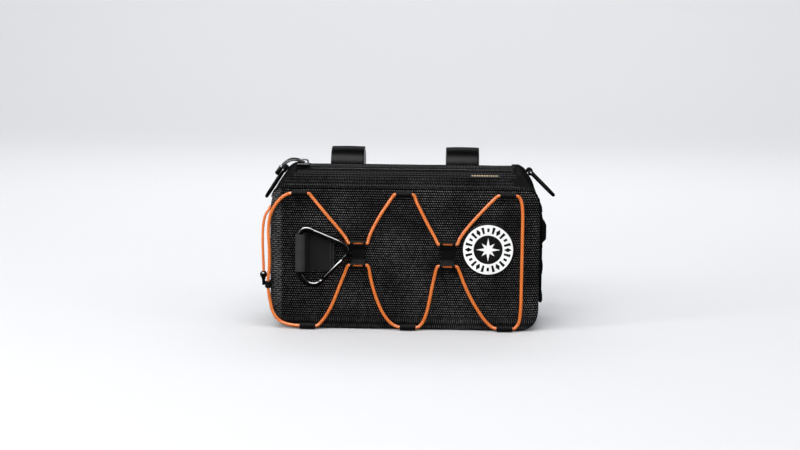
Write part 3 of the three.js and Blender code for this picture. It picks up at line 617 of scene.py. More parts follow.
# %% Braided cord
def braided(name, colour, shade, strand=1.5, girth=8.8, bump=0.2, roughness=0.38):
    cord = Finish(name, roughness=roughness, specular=0.5)
    along, around = cord.cloth_place()
    turn = cord.math("MULTIPLY", around, 2 * math.pi * 4 / girth)
    run = cord.math("MULTIPLY", along, 2 * math.pi / (strand * 2))
    one = cord.math("SINE", cord.math("ADD", turn, run))
    two = cord.math("SINE", cord.math("SUBTRACT", turn, run))
    height = cord.smooth(cord.math("MAXIMUM", one, two), -0.4, 0.9)
    uneven = cord.smooth(cord.noise(90.0, 2.0), 0.25, 0.8, 0.75, 1.0)
    # Painted shade: the colour goes toward the shade colour between the strands, where the grooves are.
    cord.colour(cord.blend(cord.math("MULTIPLY", height, uneven), shade, colour))
    cord.bump(height, bump, 0.8)
    return cord.material


orange_cord = braided("orange_cord", (1.0, 0.27, 0.03), (0.62, 0.085, 0.006))
black_cord = braided("black_cord", (0.03, 0.03, 0.032), (0.006, 0.006, 0.006), girth=5.65)
print("made", orange_cord.name)

# %% [markdown]
# ## Gloss
# The carabiner, rings and small hardware are black and glossy. A clear coat over a dark base gives the
# hard white lines that the lamps draw on them, and a trace of noise in the bump makes those lines
# waver as they do on moulded and anodised parts.

# %% Glossy black
def glossy(name, colour, roughness, coat, waver=0.02):
    gloss = Finish(name, roughness=roughness, coat=coat, specular=0.4)
    gloss.shader.inputs["Coat Roughness"].default_value = 0.12
    cloudy = gloss.smooth(gloss.noise(120.0, 3.0), 0.3, 0.75)
    gloss.colour(gloss.blend(cloudy, colour, tuple(c * 1.4 + 0.0008 for c in colour)))
    gloss.bump(gloss.noise(260.0, 2.0), waver, 0.5)
    return gloss.material


black_metal = glossy("black_metal", (0.002, 0.002, 0.0023), 0.22, 0.6)
black_plastic = glossy("black_plastic", (0.002, 0.002, 0.0023), 0.2, 0.25)
print("made", black_metal.name, "and", black_plastic.name)

# %% [markdown]
# ## The bag's own shape
# Four small functions say where the bag's skin is: how high the top is at each depth, how far its
# shoulders round in, how far the sides swell, and how far the padded front stands out. They start
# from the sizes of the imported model, so a dressed piece lands where the solid one is. The sides and
# the bottom right corner are a little fuller than the solids, as the photograph shows them.

# %% Sizes and surfaces of the bag
HALF_WIDTH, SEAM, FRONT, BACK = 118.7, 126.5, -44.5, 44.5
SHOULDER, WALL_FRONT, WALL_BACK = 118.0, -40.2, 40.7
CORNER_LEFT, CORNER_RIGHT, FOOT, SEAT = 26.0, 16.0, 118.3, 0.3
ZIP_START, ZIP_END, COIL_MIDDLE, ZIP_HALF = -24.0, 5.0, -9.7, 99.5
TOP_RISE, SHOULDER_REACH = 16.7, 16.0
TOP_SECTIONS = np.array([  # share of the depth, share of the rise, share of the shoulder's reach
    (0.00, 0.000, 0.40), (0.05, 0.160, 0.55), (0.23, 0.770, 0.95), (0.34, 0.885, 1.00),
    (0.56, 1.000, 1.00), (0.84, 0.940, 1.00), (0.95, 0.700, 0.85), (1.00, 0.420, 0.60),
])


def section_at(y, column):
    share = (np.asarray(y) - FRONT) / (BACK - FRONT)
    return np.interp(share, TOP_SECTIONS[:, 0], TOP_SECTIONS[:, column])


def top_at(y):
    return SEAM + TOP_RISE * section_at(y, 1)


def round_at(y):
    return SHOULDER_REACH * section_at(y, 2)


def side_at(y, z):
    across = np.maximum(0, 1 - (2 * np.asarray(y) / (WALL_BACK - WALL_FRONT)) ** 2)
    down, edge = (np.clip((SHOULDER - np.asarray(z)) / fade, 0, 1) for fade in (24.0, 10.0))
    swell, fullness = (share * share * (3 - 2 * share) for share in (down, edge))
    return HALF_WIDTH + 1.8 * fullness + 2.4 * across * swell


def front_at(x, z):
    across = 1 - np.minimum(1, np.abs(np.asarray(x) / HALF_WIDTH)) ** 8
    rise = 1 - np.minimum(1, np.abs(2 * np.asarray(z) / SEAM - 1)) ** 5
    return FRONT - 4.0 * across * rise


print("top at the zip:", round(float(top_at(COIL_MIDDLE)), 1), "mm")


# %% Outline of the bag at one depth
def side_and_corner(y, inset, radius):
    """The left side down to the bottom, with its corner; mirrored for the right."""
    side = [(-side_at(y, z) + inset, z) for z in np.linspace(SHOULDER, radius, 14)]
    middle = radius - float(side_at(y, radius))
    bend = [(middle - (radius - inset) * math.cos(a), radius - (radius - inset) * math.sin(a))
            for a in np.linspace(0, math.pi / 2, 12)[1:]]
    return np.array(side + bend)


def lower_path(y, inset=0.0):
    left, right = (side_and_corner(y, inset, radius) for radius in (CORNER_LEFT, CORNER_RIGHT))
    bottom = [(x, inset) for x in np.linspace(left[-1, 0], -right[-1, 0], 40)[1:-1]]
    return np.concatenate([left, bottom, (right * (-1, 1))[::-1]])


def top_path(y, inset=0.0, foot=FOOT, bends=15, flats=40):
    reach, top = float(round_at(y)), float(top_at(y)) - inset
    half = HALF_WIDTH - inset
    rise = top - foot - 1.2
    angles = np.linspace(0, math.pi / 2, bends)
    curve = np.stack([-half + reach * (1 - np.cos(angles) ** (4 / 3)),
                      foot + 1.2 + rise * np.sin(angles) ** (4 / 3)], axis=1)
    left = np.concatenate([[[-half, foot]], curve])
    flat = np.linspace(reach - half, half - reach, flats)[1:-1]
    return np.concatenate([left, np.stack([flat, np.full(len(flat), top)], axis=1), (left * (-1, 1))[::-1]])


print("outline has", len(lower_path(0.0)) + len(top_path(0.0)), "points")

# %% [markdown]
# ## The padded front
# On the real bag the front is a foam panel between two layers of mesh cloth, so it is crowned in the
# middle, turns back softly at its sides and has a shallow crease where the foam ends. A flat plate
# with a bevel would look hard. Here rings of points run from the outline to the middle, and each
# point is set back by how near it is to the edge, which gives one closed, cushion-like form.

# %% Front panel
def outline_of_panel(y, count=330):
    whole = np.concatenate([lower_path(y), top_path(y, foot=SHOULDER)[::-1][1:-1]])
    fine = smooth_path(whole, 0.5, closed=True)
    return fine[np.linspace(0, len(fine), count, endpoint=False).astype(int)]


def edge_setback(points, outline, wide, low):
    """How far the cloth turns back at each place, from how near the edge it is."""
    gaps = points[:, None, :] - outline[None, :, :]
    distance = np.linalg.norm(gaps, axis=2)
    nearest = distance.argmin(axis=1)
    gap = distance[np.arange(len(points)), nearest]
    run = np.roll(outline, -1, axis=0) - np.roll(outline, 1, axis=0)
    sideways = np.abs(run[:, 1]) / np.linalg.norm(run, axis=1)
    width = low + (wide - low) * sideways[nearest] ** 2
    share = np.clip(gap / width, 0, 1)
    upper = np.clip((outline[nearest, 1] - 112) / 10, 0, 1) * (1 - sideways[nearest] ** 2)
    turn = (1 - np.sqrt(np.maximum(0, 1 - (1 - share) ** 2.2))) * (1 - 0.72 * upper)
    crease = 0.6 * np.exp(-((gap - width - 0.8) / 1.1) ** 2) * sideways[nearest] ** 2
    return turn, crease, gap


def soft_waves(u, v, seed, scale=30.0):
    """Low waves from a few fixed sines, for cloth that is never quite flat."""
    rng = np.random.default_rng(seed)
    total = np.zeros_like(np.asarray(u, float))
    for _ in range(7):
        a, b, phase = rng.normal(size=2).tolist() + [rng.uniform(0, 6.28)]
        total = total + np.sin((np.asarray(u) * a + np.asarray(v) * b) * 2.2 / scale + phase)
    return total / 7


def padded_panel(name, face_y, back_y, turn_depth, finish, node, seed, wide=9.0, low=4.5):
    outline, rim = outline_of_panel(face_y), outline_of_panel(back_y)
    centre = outline.mean(axis=0)
    shares = np.concatenate([1 - np.linspace(0, 1, 12) ** 1.4 * 0.16, np.linspace(0.84, 0.02, 30)[1:]])
    rings = centre + (outline - centre) * shares[:, None, None]
    flat = rings.reshape(-1, 2)
    turn, crease, gap = edge_setback(flat, outline, wide, low)
    flat = flat + np.tile(rim - outline, (len(shares), 1)) * (turn ** 1.5)[:, None]
    outward = -1 if face_y < 0 else 1
    face = front_at(flat[:, 0], flat[:, 1]) if face_y < 0 else np.full(len(flat), face_y)
    waves = 0.22 * np.maximum(0, soft_waves(flat[:, 0], flat[:, 1], seed)) * np.clip(gap / 12, 0, 1)
    y = face - outward * (turn * turn_depth + crease + waves)
    front = np.stack([flat[:, 0], y, flat[:, 1]], axis=1).reshape(*rings.shape[:2], 3)
    behind = np.stack([flat[:, 0], np.full(len(flat), back_y), flat[:, 1]], axis=1).reshape(front.shape)
    if face_y < 0:
        behind[..., 1] = np.maximum(front[..., 1] + 1.0, (face + 4.0).reshape(front.shape[:2]))
    panel = Form()
    ids = panel.add_points(front).reshape(front.shape[:2])
    back_ids = panel.add_points(behind).reshape(front.shape[:2])
    places = np.concatenate([front.reshape(-1, 3), behind.reshape(-1, 3)])[:, (0, 2)]
    count = front.shape[1]

    def add(*indices):
        panel.add_face(indices, [tuple(places[i]) for i in indices])

    for sheet in (ids, back_ids):
        for r in range(len(shares) - 1):
            for c in range(count):
                n = (c + 1) % count
                add(sheet[r, c], sheet[r, n], sheet[r + 1, n], sheet[r + 1, c])
        add(*sheet[-1])
    for c in range(count):
        n = (c + 1) % count
        add(ids[0, c], ids[0, n], back_ids[0, n], back_ids[0, c])
    piece = panel.build(name, "bag", [finish], "mesh_cloth", [node], sharp=60)
    return piece


padded_panel("padded_front", FRONT, -40.6, 3.6, front_cloth, "front_panel", seed=3)
padded_panel("padded_back", BACK, 41.0, 2.6, side_cloth, "back_panel", seed=8, wide=6.0, low=4.0)

# %% [markdown]
# ## Sides and bottom
# One long strip goes down one side, along the bottom and up the other, as the real gusset does. It is
# lofted through the outlines at several depths, with a little slack in it, and it has the thickness
# of its foam so that the mesh is a closed sheet.

# %% Gusset
def loft(path_at, depths, inset):
    return np.array([[(x, y, z) for x, z in path_at(y, inset)] for y in depths])


def gusset():
    depths = np.linspace(WALL_FRONT, WALL_BACK, 25)
    outer, inner = loft(lower_path, depths, 0.0), loft(lower_path, depths, 3.0)
    along = run_length(outer[len(depths) // 2][:, (0, 2)])
    waves = soft_waves(along + 0 * depths[:, None], depths[:, None] * 1.5, 5, 24)
    slack = 0.5 * np.maximum(0, waves)
    fade = np.clip(np.minimum(depths - WALL_FRONT, WALL_BACK - depths) / 8, 0, 1)[:, None]
    standing = np.clip((outer[..., 2] - 2) / 10, 0, 1)
    away = outer[..., (0, 2)] - (0, 70.0)
    away /= np.linalg.norm(away, axis=2)[..., None]
    outer[..., 0] -= away[..., 0] * slack * fade * standing
    piece = sheet_piece("side_gusset", outer, inner, depths, along, [side_cloth], "mesh_cloth",
                        ["gusset"], sharp=55)
    return piece


gusset()

# %% [markdown]
# ## The top bands
# The zip lies between a narrow band in front and a wide one behind. Each is mesh cloth folded at the
# zip, so the fold stands a little higher than the tape beside it. The weave runs upright here, which
# is why the front band looks like short strokes and not like dots.

# %% Front and back band
def top_band(name, depths, node, seed, fold):
    outer, inner = loft(top_path, depths, 0.0), loft(top_path, depths, 2.4)
    along = run_length(outer[len(depths) // 2][:, (0, 2)])
    across = run_length(np.stack([depths, top_at(depths)], axis=1))
    waves = soft_waves(along + 0 * across[:, None], across[:, None] * 2, seed, 20)
    edge = np.clip(np.minimum(across, across[-1] - across) / 3, 0, 1)[:, None]
    outer[..., 2] -= 0.25 * np.maximum(0, waves) * edge
    middle = (depths[1:] + depths[:-1])[:, None] / 2
    reach = (outer[0][1:, 0] + outer[0][:-1, 0])[None, :] / 2
    smooth_part = (middle > fold[0]) & (middle < fold[1]) | (reach > 101.0)
    piece = sheet_piece(name, outer, inner, across, along, [band_cloth, smooth_tape], "mesh_cloth",
                        [node], finish=np.where(smooth_part, 1, 0), turned=True, sharp=50, bevel=0.45)
    return piece


front_depths = np.concatenate([np.linspace(WALL_FRONT, -28.2, 9), np.linspace(-27.9, ZIP_START - SEAT, 4)])
top_band("front_band", front_depths, "top_front_band", 11, (-28.0, 0.0))
back_depths = np.concatenate([np.linspace(ZIP_END + SEAT, 9.0, 4), np.linspace(9.3, WALL_BACK, 20)])
top_band("back_band", back_depths, "top_back_band", 12, (0.0, 9.1))


# %% Hems over the seams
def seam_hem(name, depths):
    outer, inner = loft(top_path, depths, -0.75), loft(top_path, depths, 0.02)
    wall = min(depths, key=abs)
    for sheet in (outer, inner):
        share = np.clip((HALF_WIDTH - abs(sheet[..., 0])) / 10, 0, 1)
        turn = 1 - np.sqrt(1 - (1 - share) ** 2.2)
        sheet[..., 1] += 0.92 * turn * (wall - sheet[..., 1])
    along = run_length(outer[1][:, (0, 2)])
    across = run_length(np.stack([depths, top_at(depths)], axis=1))
    return sheet_piece(name, outer, inner, across, along, [hem_cloth], "mesh_cloth", turned=True,
                       sharp=50, bevel=0.3)


seam_hem("front_hem", np.linspace(FRONT + 0.25, -40.3, 4))
seam_hem("back_hem", np.linspace(39.6, BACK - 0.25, 6))

# %% [markdown]
# ## The zip
# Two smooth tapes carry a nylon coil. The coil is a real spiral on each side: a thin line wound round
# and round along the edge of its tape. Two spirals that reach into each other read as a closed zip at
# any distance, and they catch the light as two fine bright lines.

# %% Tapes and end pieces
def tape(name, depths, sink, thickness, node, bevel=0.2):
    xs = np.linspace(-ZIP_HALF, ZIP_HALF, 60)
    outer = np.array([[(x, y, z) for x in xs] for y, z in zip(depths, top_at(depths) - sink)])
    return sheet_piece(name, outer, outer - (0, 0, thickness), depths, xs, [zip_cloth], "webbing",
                       [node], bevel=bevel)


tape("zip_tape_near", np.linspace(ZIP_START, -13.0, 7), 0.4, 0.8, "zip_tape_front")
tape("zip_tape_far", np.linspace(-6.4, ZIP_END, 7), 0.4, 0.8, "zip_tape_back")


def side_name(side):
    return "left" if side < 0 else "right"


def zip_end(side):
    depths = np.linspace(ZIP_START, ZIP_END, 11)
    sheets = []
    for inset in (0.0, 2.4):
        rows = []
        for y in depths:
            left = top_path(y, inset)[:16]
            inner_end = [-ZIP_HALF - SEAT, float(top_at(y)) - inset]
            rows.append([(side * -x, y, z) for x, z in [*left, inner_end]])
        sheets.append(np.array(rows))
    name = side_name(side)
    return sheet_piece(f"zip_shoulder_{name}", *sheets, depths, run_length(sheets[0][5][:, (0, 2)]),
                       [smooth_tape], "webbing", [f"zip_end_{name}"], sharp=50, bevel=0.3)


for side in (-1, 1):
    zip_end(side)


# %% Coil
def zip_coil():
    pitch, reach, rise, spacing = 1.45, 1.45, 0.55, 1.25
    turns = int(2 * (ZIP_HALF - 1.0) / pitch)
    t = np.linspace(0, turns * 2 * math.pi, turns * 10 + 1)
    x = -ZIP_HALF + 1.0 + pitch * t / (2 * math.pi)
    coil = Form()
    for offset, phase in ((-spacing, 0.0), (spacing, math.pi)):
        y = COIL_MIDDLE + offset + reach * np.cos(t + phase)
        z = top_at(COIL_MIDDLE) - 0.25 + rise * np.sin(t + phase)
        coil.tube(np.stack([x, y, z], axis=1), 0.33, 5, domed=False)
    return coil.build("zip_coil_spiral", "bag", [black_plastic], "webbing", sharp=80)


zip_coil()
tape("zip_coil_bed", np.array([-12.7, COIL_MIDDLE, -6.7]), 0.9, 0.5, "zip_coil", bevel=0.0)

# %% [markdown]
# ## Slider and pull
# The slider is a small casting with an arch on top, and a loop of thin cord goes through the arch with
# a moulded end. The body is a box with its edges rounded by a bevel, and the arch is a flat strip bent
# over: two short sweeps are enough for something this small.

# %% Slider
def block(form, low, high):
    (x0, y0, z0), (x1, y1, z1) = low, high
    outer = np.array([[(x0, y0, z1), (x1, y0, z1)], [(x0, y1, z1), (x1, y1, z1)]], float)
    inner = outer.copy()
    inner[..., 2] = z0
    form.shell(outer, inner, [y0, y1], [x0, x1])


SLIDER_X, SLIDER_THICKNESS, PULL_RADIUS = -93.5, 3.0, 0.9


def slider():
    low, high = (np.array(corner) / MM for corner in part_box("zip_slider"))
    body = Form()
    block(body, low, (high[0], high[1], low[2] + SLIDER_THICKNESS))
    arch = [(low[0] + 2.1, low[2] + 2.6), (low[0] + 2.1, high[2] - 1.4), (low[0] + 3.2, high[2] - 0.6),
            (high[0] - 3.2, high[2] - 0.6), (high[0] - 2.1, high[2] - 1.4), (high[0] - 2.1, low[2] + 2.6)]
    line = smooth_path(arch, 0.6)
    ys = np.linspace(-11.15, -8.25, 4)
    sheets = [np.array([[(x, y, z) for x, z in beside(line, shift)] for y in ys])
              for shift in (0.6, -0.6)]
    body.shell(*sheets, ys, run_length(line))
    return body.build("slider", "bag", [black_metal], "gloss_black", ["zip_slider"], bevel=0.5, segments=3)


slider()

# %% Pull cord and its moulded end
PULL_ROUTE = [
    (-18.6, -6.4, -3.6), (-15.4, -6.8, -0.6), (-10.6, -6.6, 1.8), (-6.2, -5.4, 2), (-2.8, -4, 0.8),
    (-0.6, -3, 0), (0.4, 0, 0), (-0.6, 3, 0), (-2.8, 4, 1.2), (-6.2, 3.2, 2.4), (-11, -0.6, 2.8),
    (-15.6, -3.6, 0.8), (-19, -4.2, -2.4),
]


def pull():
    base = np.array(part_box("zip_slider")[0]) / MM
    passing = np.array([SLIDER_X, COIL_MIDDLE, base[2] + SLIDER_THICKNESS + PULL_RADIUS + 0.3])
    route = passing + np.array(PULL_ROUTE)
    cord = Form()
    cord.tube(smooth_path(route, 0.5), PULL_RADIUS, 12)
    cord.build("pull_cord", "bag", [black_cord], "black_cord", ["zip_pull_cord"])
    aim = np.array([-0.55, -0.1, -0.8])
    aim /= np.linalg.norm(aim)
    start = (route[0] + route[-1]) / 2 + aim * PULL_RADIUS
    profile = [(0.4, 0.0), (1.9, 0.1), (2.3, 0.7)]
    for ridge in range(4):
        height = 1.4 + ridge * 1.5
        profile += [(2.35, height), (2.0, height + 0.5), (2.0, height + 0.9), (2.35, height + 1.3)]
    profile += [(2.2, 7.8), (1.7, 8.7), (1.0, 9.0)]
    end = Form()
    end.turned(profile, start, aim, 28)
    return end.build("pull_grip", "bag", [black_plastic], "gloss_black", ["zip_pull_end"], sharp=35)


pull()

# %% [markdown]
# ## The lacing
# One cord, about nine tenths of a metre long, zigzags through eight keepers and is the first thing the
# eye sees. Its route repeats the measured one: a table of runs between the keepers, with the passes
# through them found from the keepers' own boxes. A spline through the points is cut into even steps,
# so the braid keeps its scale in the bends.

# %% Route of the lacing
LACE_RUNS = {  # share of the half width, height, and how far the cord stands off the front
    "tab_to_bottom_left": [
        (-1.0253, 34, -0.3), (-1.016, 26.6, -0.6), (-0.9933, 15.4, 0.1), (-0.952, 8.4, 0),
        (-0.8997, 4.8, 0), (-0.8416, 3.6, 0.8)],
    "bottom_left_to_middle": [
        (-0.6403, 4.5, 0.9), (-0.6201, 7.2, 0.3), (-0.5872, 12.6, 0), (-0.5366, 23.9, 0), (-0.4701, 44.2, 0),
        (-0.4381, 54, 0.4), (-0.4271, 57.6, 0.9)],
    "middle_to_bottom_middle": [
        (-0.2645, 57.6, 0.9), (-0.2578, 54, 0.4), (-0.2494, 47.9, 0), (-0.2106, 31.5, 0), (-0.1584, 16.7, 0),
        (-0.1045, 7.8, 0.3), (-0.064, 4.4, 0.9)],
    "bottom_middle_to_right": [
        (0.123, 4.4, 0.9), (0.1466, 8, 0.3), (0.1761, 17.4, 0), (0.2005, 31, 0), (0.2157, 41.1, 0),
        (0.2342, 51.6, 0.4), (0.2443, 56.6, 0.9)],
    "right_to_bottom_right": [
        (0.4086, 57.3, 0.9), (0.4246, 53, 0.4), (0.4431, 47, 0), (0.4954, 33.2, 0), (0.5594, 20, 0),
        (0.6217, 9.6, 0.2), (0.6655, 4.8, 0.9)],
    "bottom_right_to_top_right": [
        (0.8475, 4.4, 0.8), (0.8694, 8, 0.2), (0.8812, 18, 0), (0.8846, 46.8, 0), (0.8854, 83.6, 0),
        (0.8829, 110, 0), (0.8728, 118, 0.3), (0.8576, 121.6, 0.9)],
    "top_right_to_middle": [
        (0.6874, 121.6, 0.9), (0.6293, 114.8, 0.2), (0.5476, 104.4, 0), (0.465, 92.8, 0),
        (0.4179, 84.6, 0.4),
        (0.4061, 81.2, 0.9)],
    "middle_to_top_middle": [
        (0.2477, 81.2, 0.9), (0.2275, 86, 0.4), (0.182, 95.6, 0), (0.1196, 109.8, 0.1), (0.0893, 117, 0.4),
        (0.0775, 121, 0.9)],
    "top_middle_to_left": [
        (-0.0876, 121, 0.9), (-0.1289, 113.8, 0.2), (-0.1853, 103.4, 0), (-0.2418, 90.6, 0),
        (-0.2612, 85, 0.4), (-0.2696, 81.4, 0.9)],
    "middle_to_top_left": [
        (-0.4246, 81.2, 0.9), (-0.4431, 84.6, 0.5), (-0.4718, 89, 0.1), (-0.508, 94.2, 0), (-0.5804, 104, 0),
        (-0.6529, 114.2, 0.2), (-0.7043, 121.4, 0.9)],
    "top_left_to_tab": [
        (-0.8762, 122.2, 0.8), (-0.9115, 119.9, 0.2), (-0.9621, 113.6, 0), (-0.9992, 106.2, 0.1),
        (-1.0185, 98, -0.3), (-1.0244, 88, -0.6), (-1.0211, 78, -0.6), (-1.0177, 63, -0.6),
        (-1.0211, 52, -0.4), (-1.0261, 46, -0.2)],
}
LACE_ORDER = [  # run, the keeper it leads to, which of its channels, and the direction through it
    ("tab_to_bottom_left", "bottom_keeper_left", 0, 1),
    ("bottom_left_to_middle", "middle_keeper_left", 0, 1),
    ("middle_to_bottom_middle", "bottom_keeper_middle", 0, 1),
    ("bottom_middle_to_right", "middle_keeper_right", 0, 1),
    ("right_to_bottom_right", "bottom_keeper_right", 0, 1),
    ("bottom_right_to_top_right", "top_keeper_right", 0, -1),
    ("top_right_to_middle", "middle_keeper_right", 1, -1),
    ("middle_to_top_middle", "top_keeper_middle", 0, -1),
    ("top_middle_to_left", "middle_keeper_left", 1, -1),
    ("middle_to_top_left", "top_keeper_left", 0, -1),
]
CORD_RADIUS, KEEPER_OUTER = 1.5, 2.9  # the braid itself is drawn a little thinner than its solid
TAB = np.array([-HALF_WIDTH - 3.2, FRONT - 1.4, 40.0])


def keeper_place(name):
    """Middle, channel depth and channel heights of a keeper, from its solid's box."""
    low, high = (np.array(corner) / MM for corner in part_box(name))
    x, y = (low[0] + high[0]) / 2, low[1] + KEEPER_OUTER
    if name.startswith("middle"):
        z = (low[2] + high[2]) / 2
        return x, y, (z - 10.0, z + 10.0)
    return x, y, (low[2] + KEEPER_OUTER,)


def lace_run(name):
    return [(s * HALF_WIDTH, float(front_at(s * HALF_WIDTH, z)) - CORD_RADIUS - SEAT - lift, z)
            for s, z, lift in LACE_RUNS[name]]


def lace_points():
    points = [(TAB[0], TAB[1], TAB[2] - 0.3), (TAB[0], TAB[1], TAB[2] - 4.0)]
    for run, keeper, channel, direction in LACE_ORDER:
        points += lace_run(run)
        x, y, heights = keeper_place(keeper)
        points += [(x + direction * along, y, heights[channel]) for along in (-8.55, -7.25, 0, 7.25, 8.55)]
    points += lace_run("top_left_to_tab")
    return points + [(TAB[0], TAB[1], TAB[2] + 4.0), (TAB[0], TAB[1], TAB[2] + 0.3)]


lace_route = smooth_path(lace_points(), 0.9)
print("lacing:", round(float(run_length(lace_route)[-1])), "mm of cord")


# %% Cord and its tail
def cord_piece(name, route, radius, finish, slot, node, sides=16):
    cord = Form()
    cord.tube(route, radius, sides)
    return cord.build(name, "bag", [finish], slot, [node], sharp=80)


cord_piece("lacing_cord", lace_route, CORD_RADIUS - 0.08, orange_cord, "orange_cord", "lace")
TAIL = [(1.8, 3.5, 110), (2.8, 3.5, 107.2), (5.9, 3.3, 102.6), (7.9, 2.7, 94), (8.5, 2.1, 79),
        (8.1, 1.5, 66), (7.7, 1.1, 57), (7.7, 1.1, 52.2)]
tail_route = smooth_path([(-HALF_WIDTH - out, FRONT + back, z) for out, back, z in TAIL], 0.8)
cord_piece("lacing_tail", tail_route, 1.2, orange_cord, "orange_cord", "lace_tail")

# %% [markdown]
# ## Keepers
# A keeper is a short piece of webbing folded round the cord and sewn into a seam, or for the two in
# the middle of the front, sewn down between two loops. The loop is drawn once from the side as a
# closed ring with a tail, given the webbing's thickness and swept across its width. The middle ones
# are narrower at the waist, and a slit at each loop lets the cord show through.

# %% Ring-shaped webbing, swept across
KEEPER_BEND = 2.35  # radius of the webbing's middle line round the cord


def webbing_ring(name, ring, width_at, centre, thickness, slit=None):
    """ring: closed (y, z) middle line of the webbing; width_at gives the width at each height."""
    columns = 17
    line = smooth_path(ring, 0.45, closed=True)
    looped = np.concatenate([line[-1:], line, line[:1]])
    area = np.sum(looped[1:-1, 0] * looped[2:, 1] - looped[2:, 0] * looped[1:-1, 1])
    outward = beside(looped, -thickness / 2 * np.sign(area))[1:-1]
    inward = beside(looped, thickness / 2 * np.sign(area))[1:-1]
    shares = np.linspace(-0.5, 0.5, columns)
    widths = np.array([width_at(z) for z in line[:, 1]])
    sheets = [np.array([[(centre[0] + share * width, centre[1] + y, centre[2] + z) for share in shares]
                        for (y, z), width in zip(edge, widths)]) for edge in (outward, inward)]
    along = np.concatenate([run_length(line), [run_length(line)[-1] + 0.45]])
    keep = np.ones((len(line), columns - 1), bool)
    if slit is not None:
        middles = (line + np.roll(line, -1, axis=0)) / 2
        for r, (y, z) in enumerate(middles):
            if slit(y, z):
                keep[r, 3:columns - 4] = False
    form = Form()
    form.shell(*sheets, along, shares * float(widths.mean()), keep=keep, wrap=(True, False))
    return form.build(name + "_loop", "bag", [webbing], "webbing", [name], sharp=50, bevel=0.25)


def edge_keeper(name, tail_up):
    low, high = (np.array(corner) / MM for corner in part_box(name))
    x, y, (z,) = keeper_place(name)
    turn = 1 if tail_up else -1
    reach = (high[2] - z if tail_up else z - low[2]) - 0.6
    r = KEEPER_BEND
    arc = [(r * math.cos(a), -turn * r * math.sin(a)) for a in np.linspace(0.1, math.pi - 0.1, 9)]
    ring = [(r, turn * reach * 0.6), *arc, (-r, turn * 0.9), (-r * 0.72, turn * 1.9),
            (-r * 0.1, turn * reach * 0.86), (r * 0.55, turn * reach)]

    def width_at(height):
        return 14.3 - 0.5 * abs(height + turn) / 4

    return webbing_ring(name, ring, width_at, (x, y, z), 1.0)


for side in ("left", "middle", "right"):
    edge_keeper(f"top_keeper_{side}", True)
    edge_keeper(f"bottom_keeper_{side}", False)


# %% Middle keepers
def waist(height):
    return 11.6 + 2.9 * min(1.0, (abs(height) / 11.5) ** 1.6)


def middle_keeper(name):
    x, y, (lower, upper) = keeper_place(name)
    z, back = (lower + upper) / 2, 2.3
    front = [(back - 1.25, h) for h in (4.5, 1.5, -1.5, -4.5)]
    bottom = [(0.3, -6.6), (-1.6, -8.2), (-2.3, -9.6), (-2.1, -11.0), (-1.1, -12.1), (0.3, -12.35),
              (1.6, -11.8), (back, -10.2)]
    behind = [(back, h) for h in (-6, -2, 2, 6)]
    top = [(y_, -z_) for y_, z_ in bottom[::-1]]
    return webbing_ring(name, front + bottom + behind + top, waist, (x, y, z), 1.05,
                        slit=lambda y_, z_: y_ < -1.2 and 9.2 < abs(z_) < 10.95)


for side in ("left", "right"):
    middle_keeper(f"middle_keeper_{side}")

# %% [markdown]
# ## Side tab and cord stop
# At the left seam a small tab holds the two ends of the cord, and a moulded stop hangs beside it: a
# glossy ball on a short stem. The ball is a turned profile, and the tab is the same folded webbing as
# the keepers, stood on end.

# %% Tab
def side_tab():
    r = KEEPER_BEND
    arc = [(r * math.cos(a), -r * math.sin(a)) for a in np.linspace(-0.9, math.pi + 0.1, 12)]
    line = smooth_path([(1.9, 7.2), (2.0, 4.0), (2.2, 1.8), *arc[1:], (-0.6, 2.1), (0.6, 4.0),
                        (1.0, 7.0)], 0.45)
    heights = np.linspace(-3.0, 3.0, 9)
    sheets = [TAB + np.array([[(x, y, h) for h in heights] for x, y in beside(line, shift)])
              for shift in (0.5, -0.5)]
    return sheet_piece("cord_tab", *sheets, run_length(line), heights, [webbing], "webbing",
                       ["side_tab"], sharp=50, bevel=0.22)


side_tab()


# %% Stop
def cord_stop():
    angles = np.linspace(-math.pi / 4, math.pi / 2 - 0.12, 16)
    ball = [(3.3 * math.cos(a), 3.3 * math.sin(a)) for a in angles]
    stem = [(0.9, -9.7), (1.25, -9.5), (1.3, -9.0), (1.3, -7.0), (1.45, -5.2), (1.8, -3.4)]
    stop = Form()
    stop.turned(stem + ball, (-HALF_WIDTH - 7.7, FRONT + 1.1, 48.6), (0, 0, 1), 32)
    return stop.build("stop_ball", "bag", [black_plastic], "gloss_black", ["cord_stop"], sharp=60)


cord_stop()

# %% [markdown]
# ## The carabiner
# A bent rod with a hinged gate. The body swings about its upright spine and the gate about its rivet,
# so they are separate pieces on separate bodies. The rod is swept along the measured outline, and its
# end is slotted for the gate's tongue with a boolean, because the slot is what a boolean is best at.

# %% Route and slotted end
CARABINER_ROUTE = [
    (-73.4, 44.8), (-76.2, 42.7), (-80, 42), (-84.2, 42.8), (-88.4, 45.6), (-91.6, 49.4), (-92.8, 53.4),
    (-92.8, 70), (-92.8, 86.6), (-91.6, 89.2), (-88.6, 91.6), (-84.8, 91.8), (-79.2, 89.4), (-67, 84.4),
    (-56.6, 79.9), (-52.4, 76.8), (-50.2, 73), (-50, 70.4), (-50.8, 68.2), (-52.3, 66.6),
]
CARABINER_Y, ROD = -53.9, 2.6
HINGE, NOSE = np.array((-73.4, CARABINER_Y, 44.8)), np.array((-52.3, CARABINER_Y, 66.6))
GATE_RUN = (NOSE - HINGE) / np.linalg.norm(NOSE - HINGE)
GATE_SIDE = np.array((GATE_RUN[2], 0, -GATE_RUN[0]))
PIN_AT = 1.4


def by_gate(along, side=0.0):
    """A place in the carabiner's plane, measured from the hinge toward the nose."""
    return HINGE + GATE_RUN * along + GATE_SIDE * side


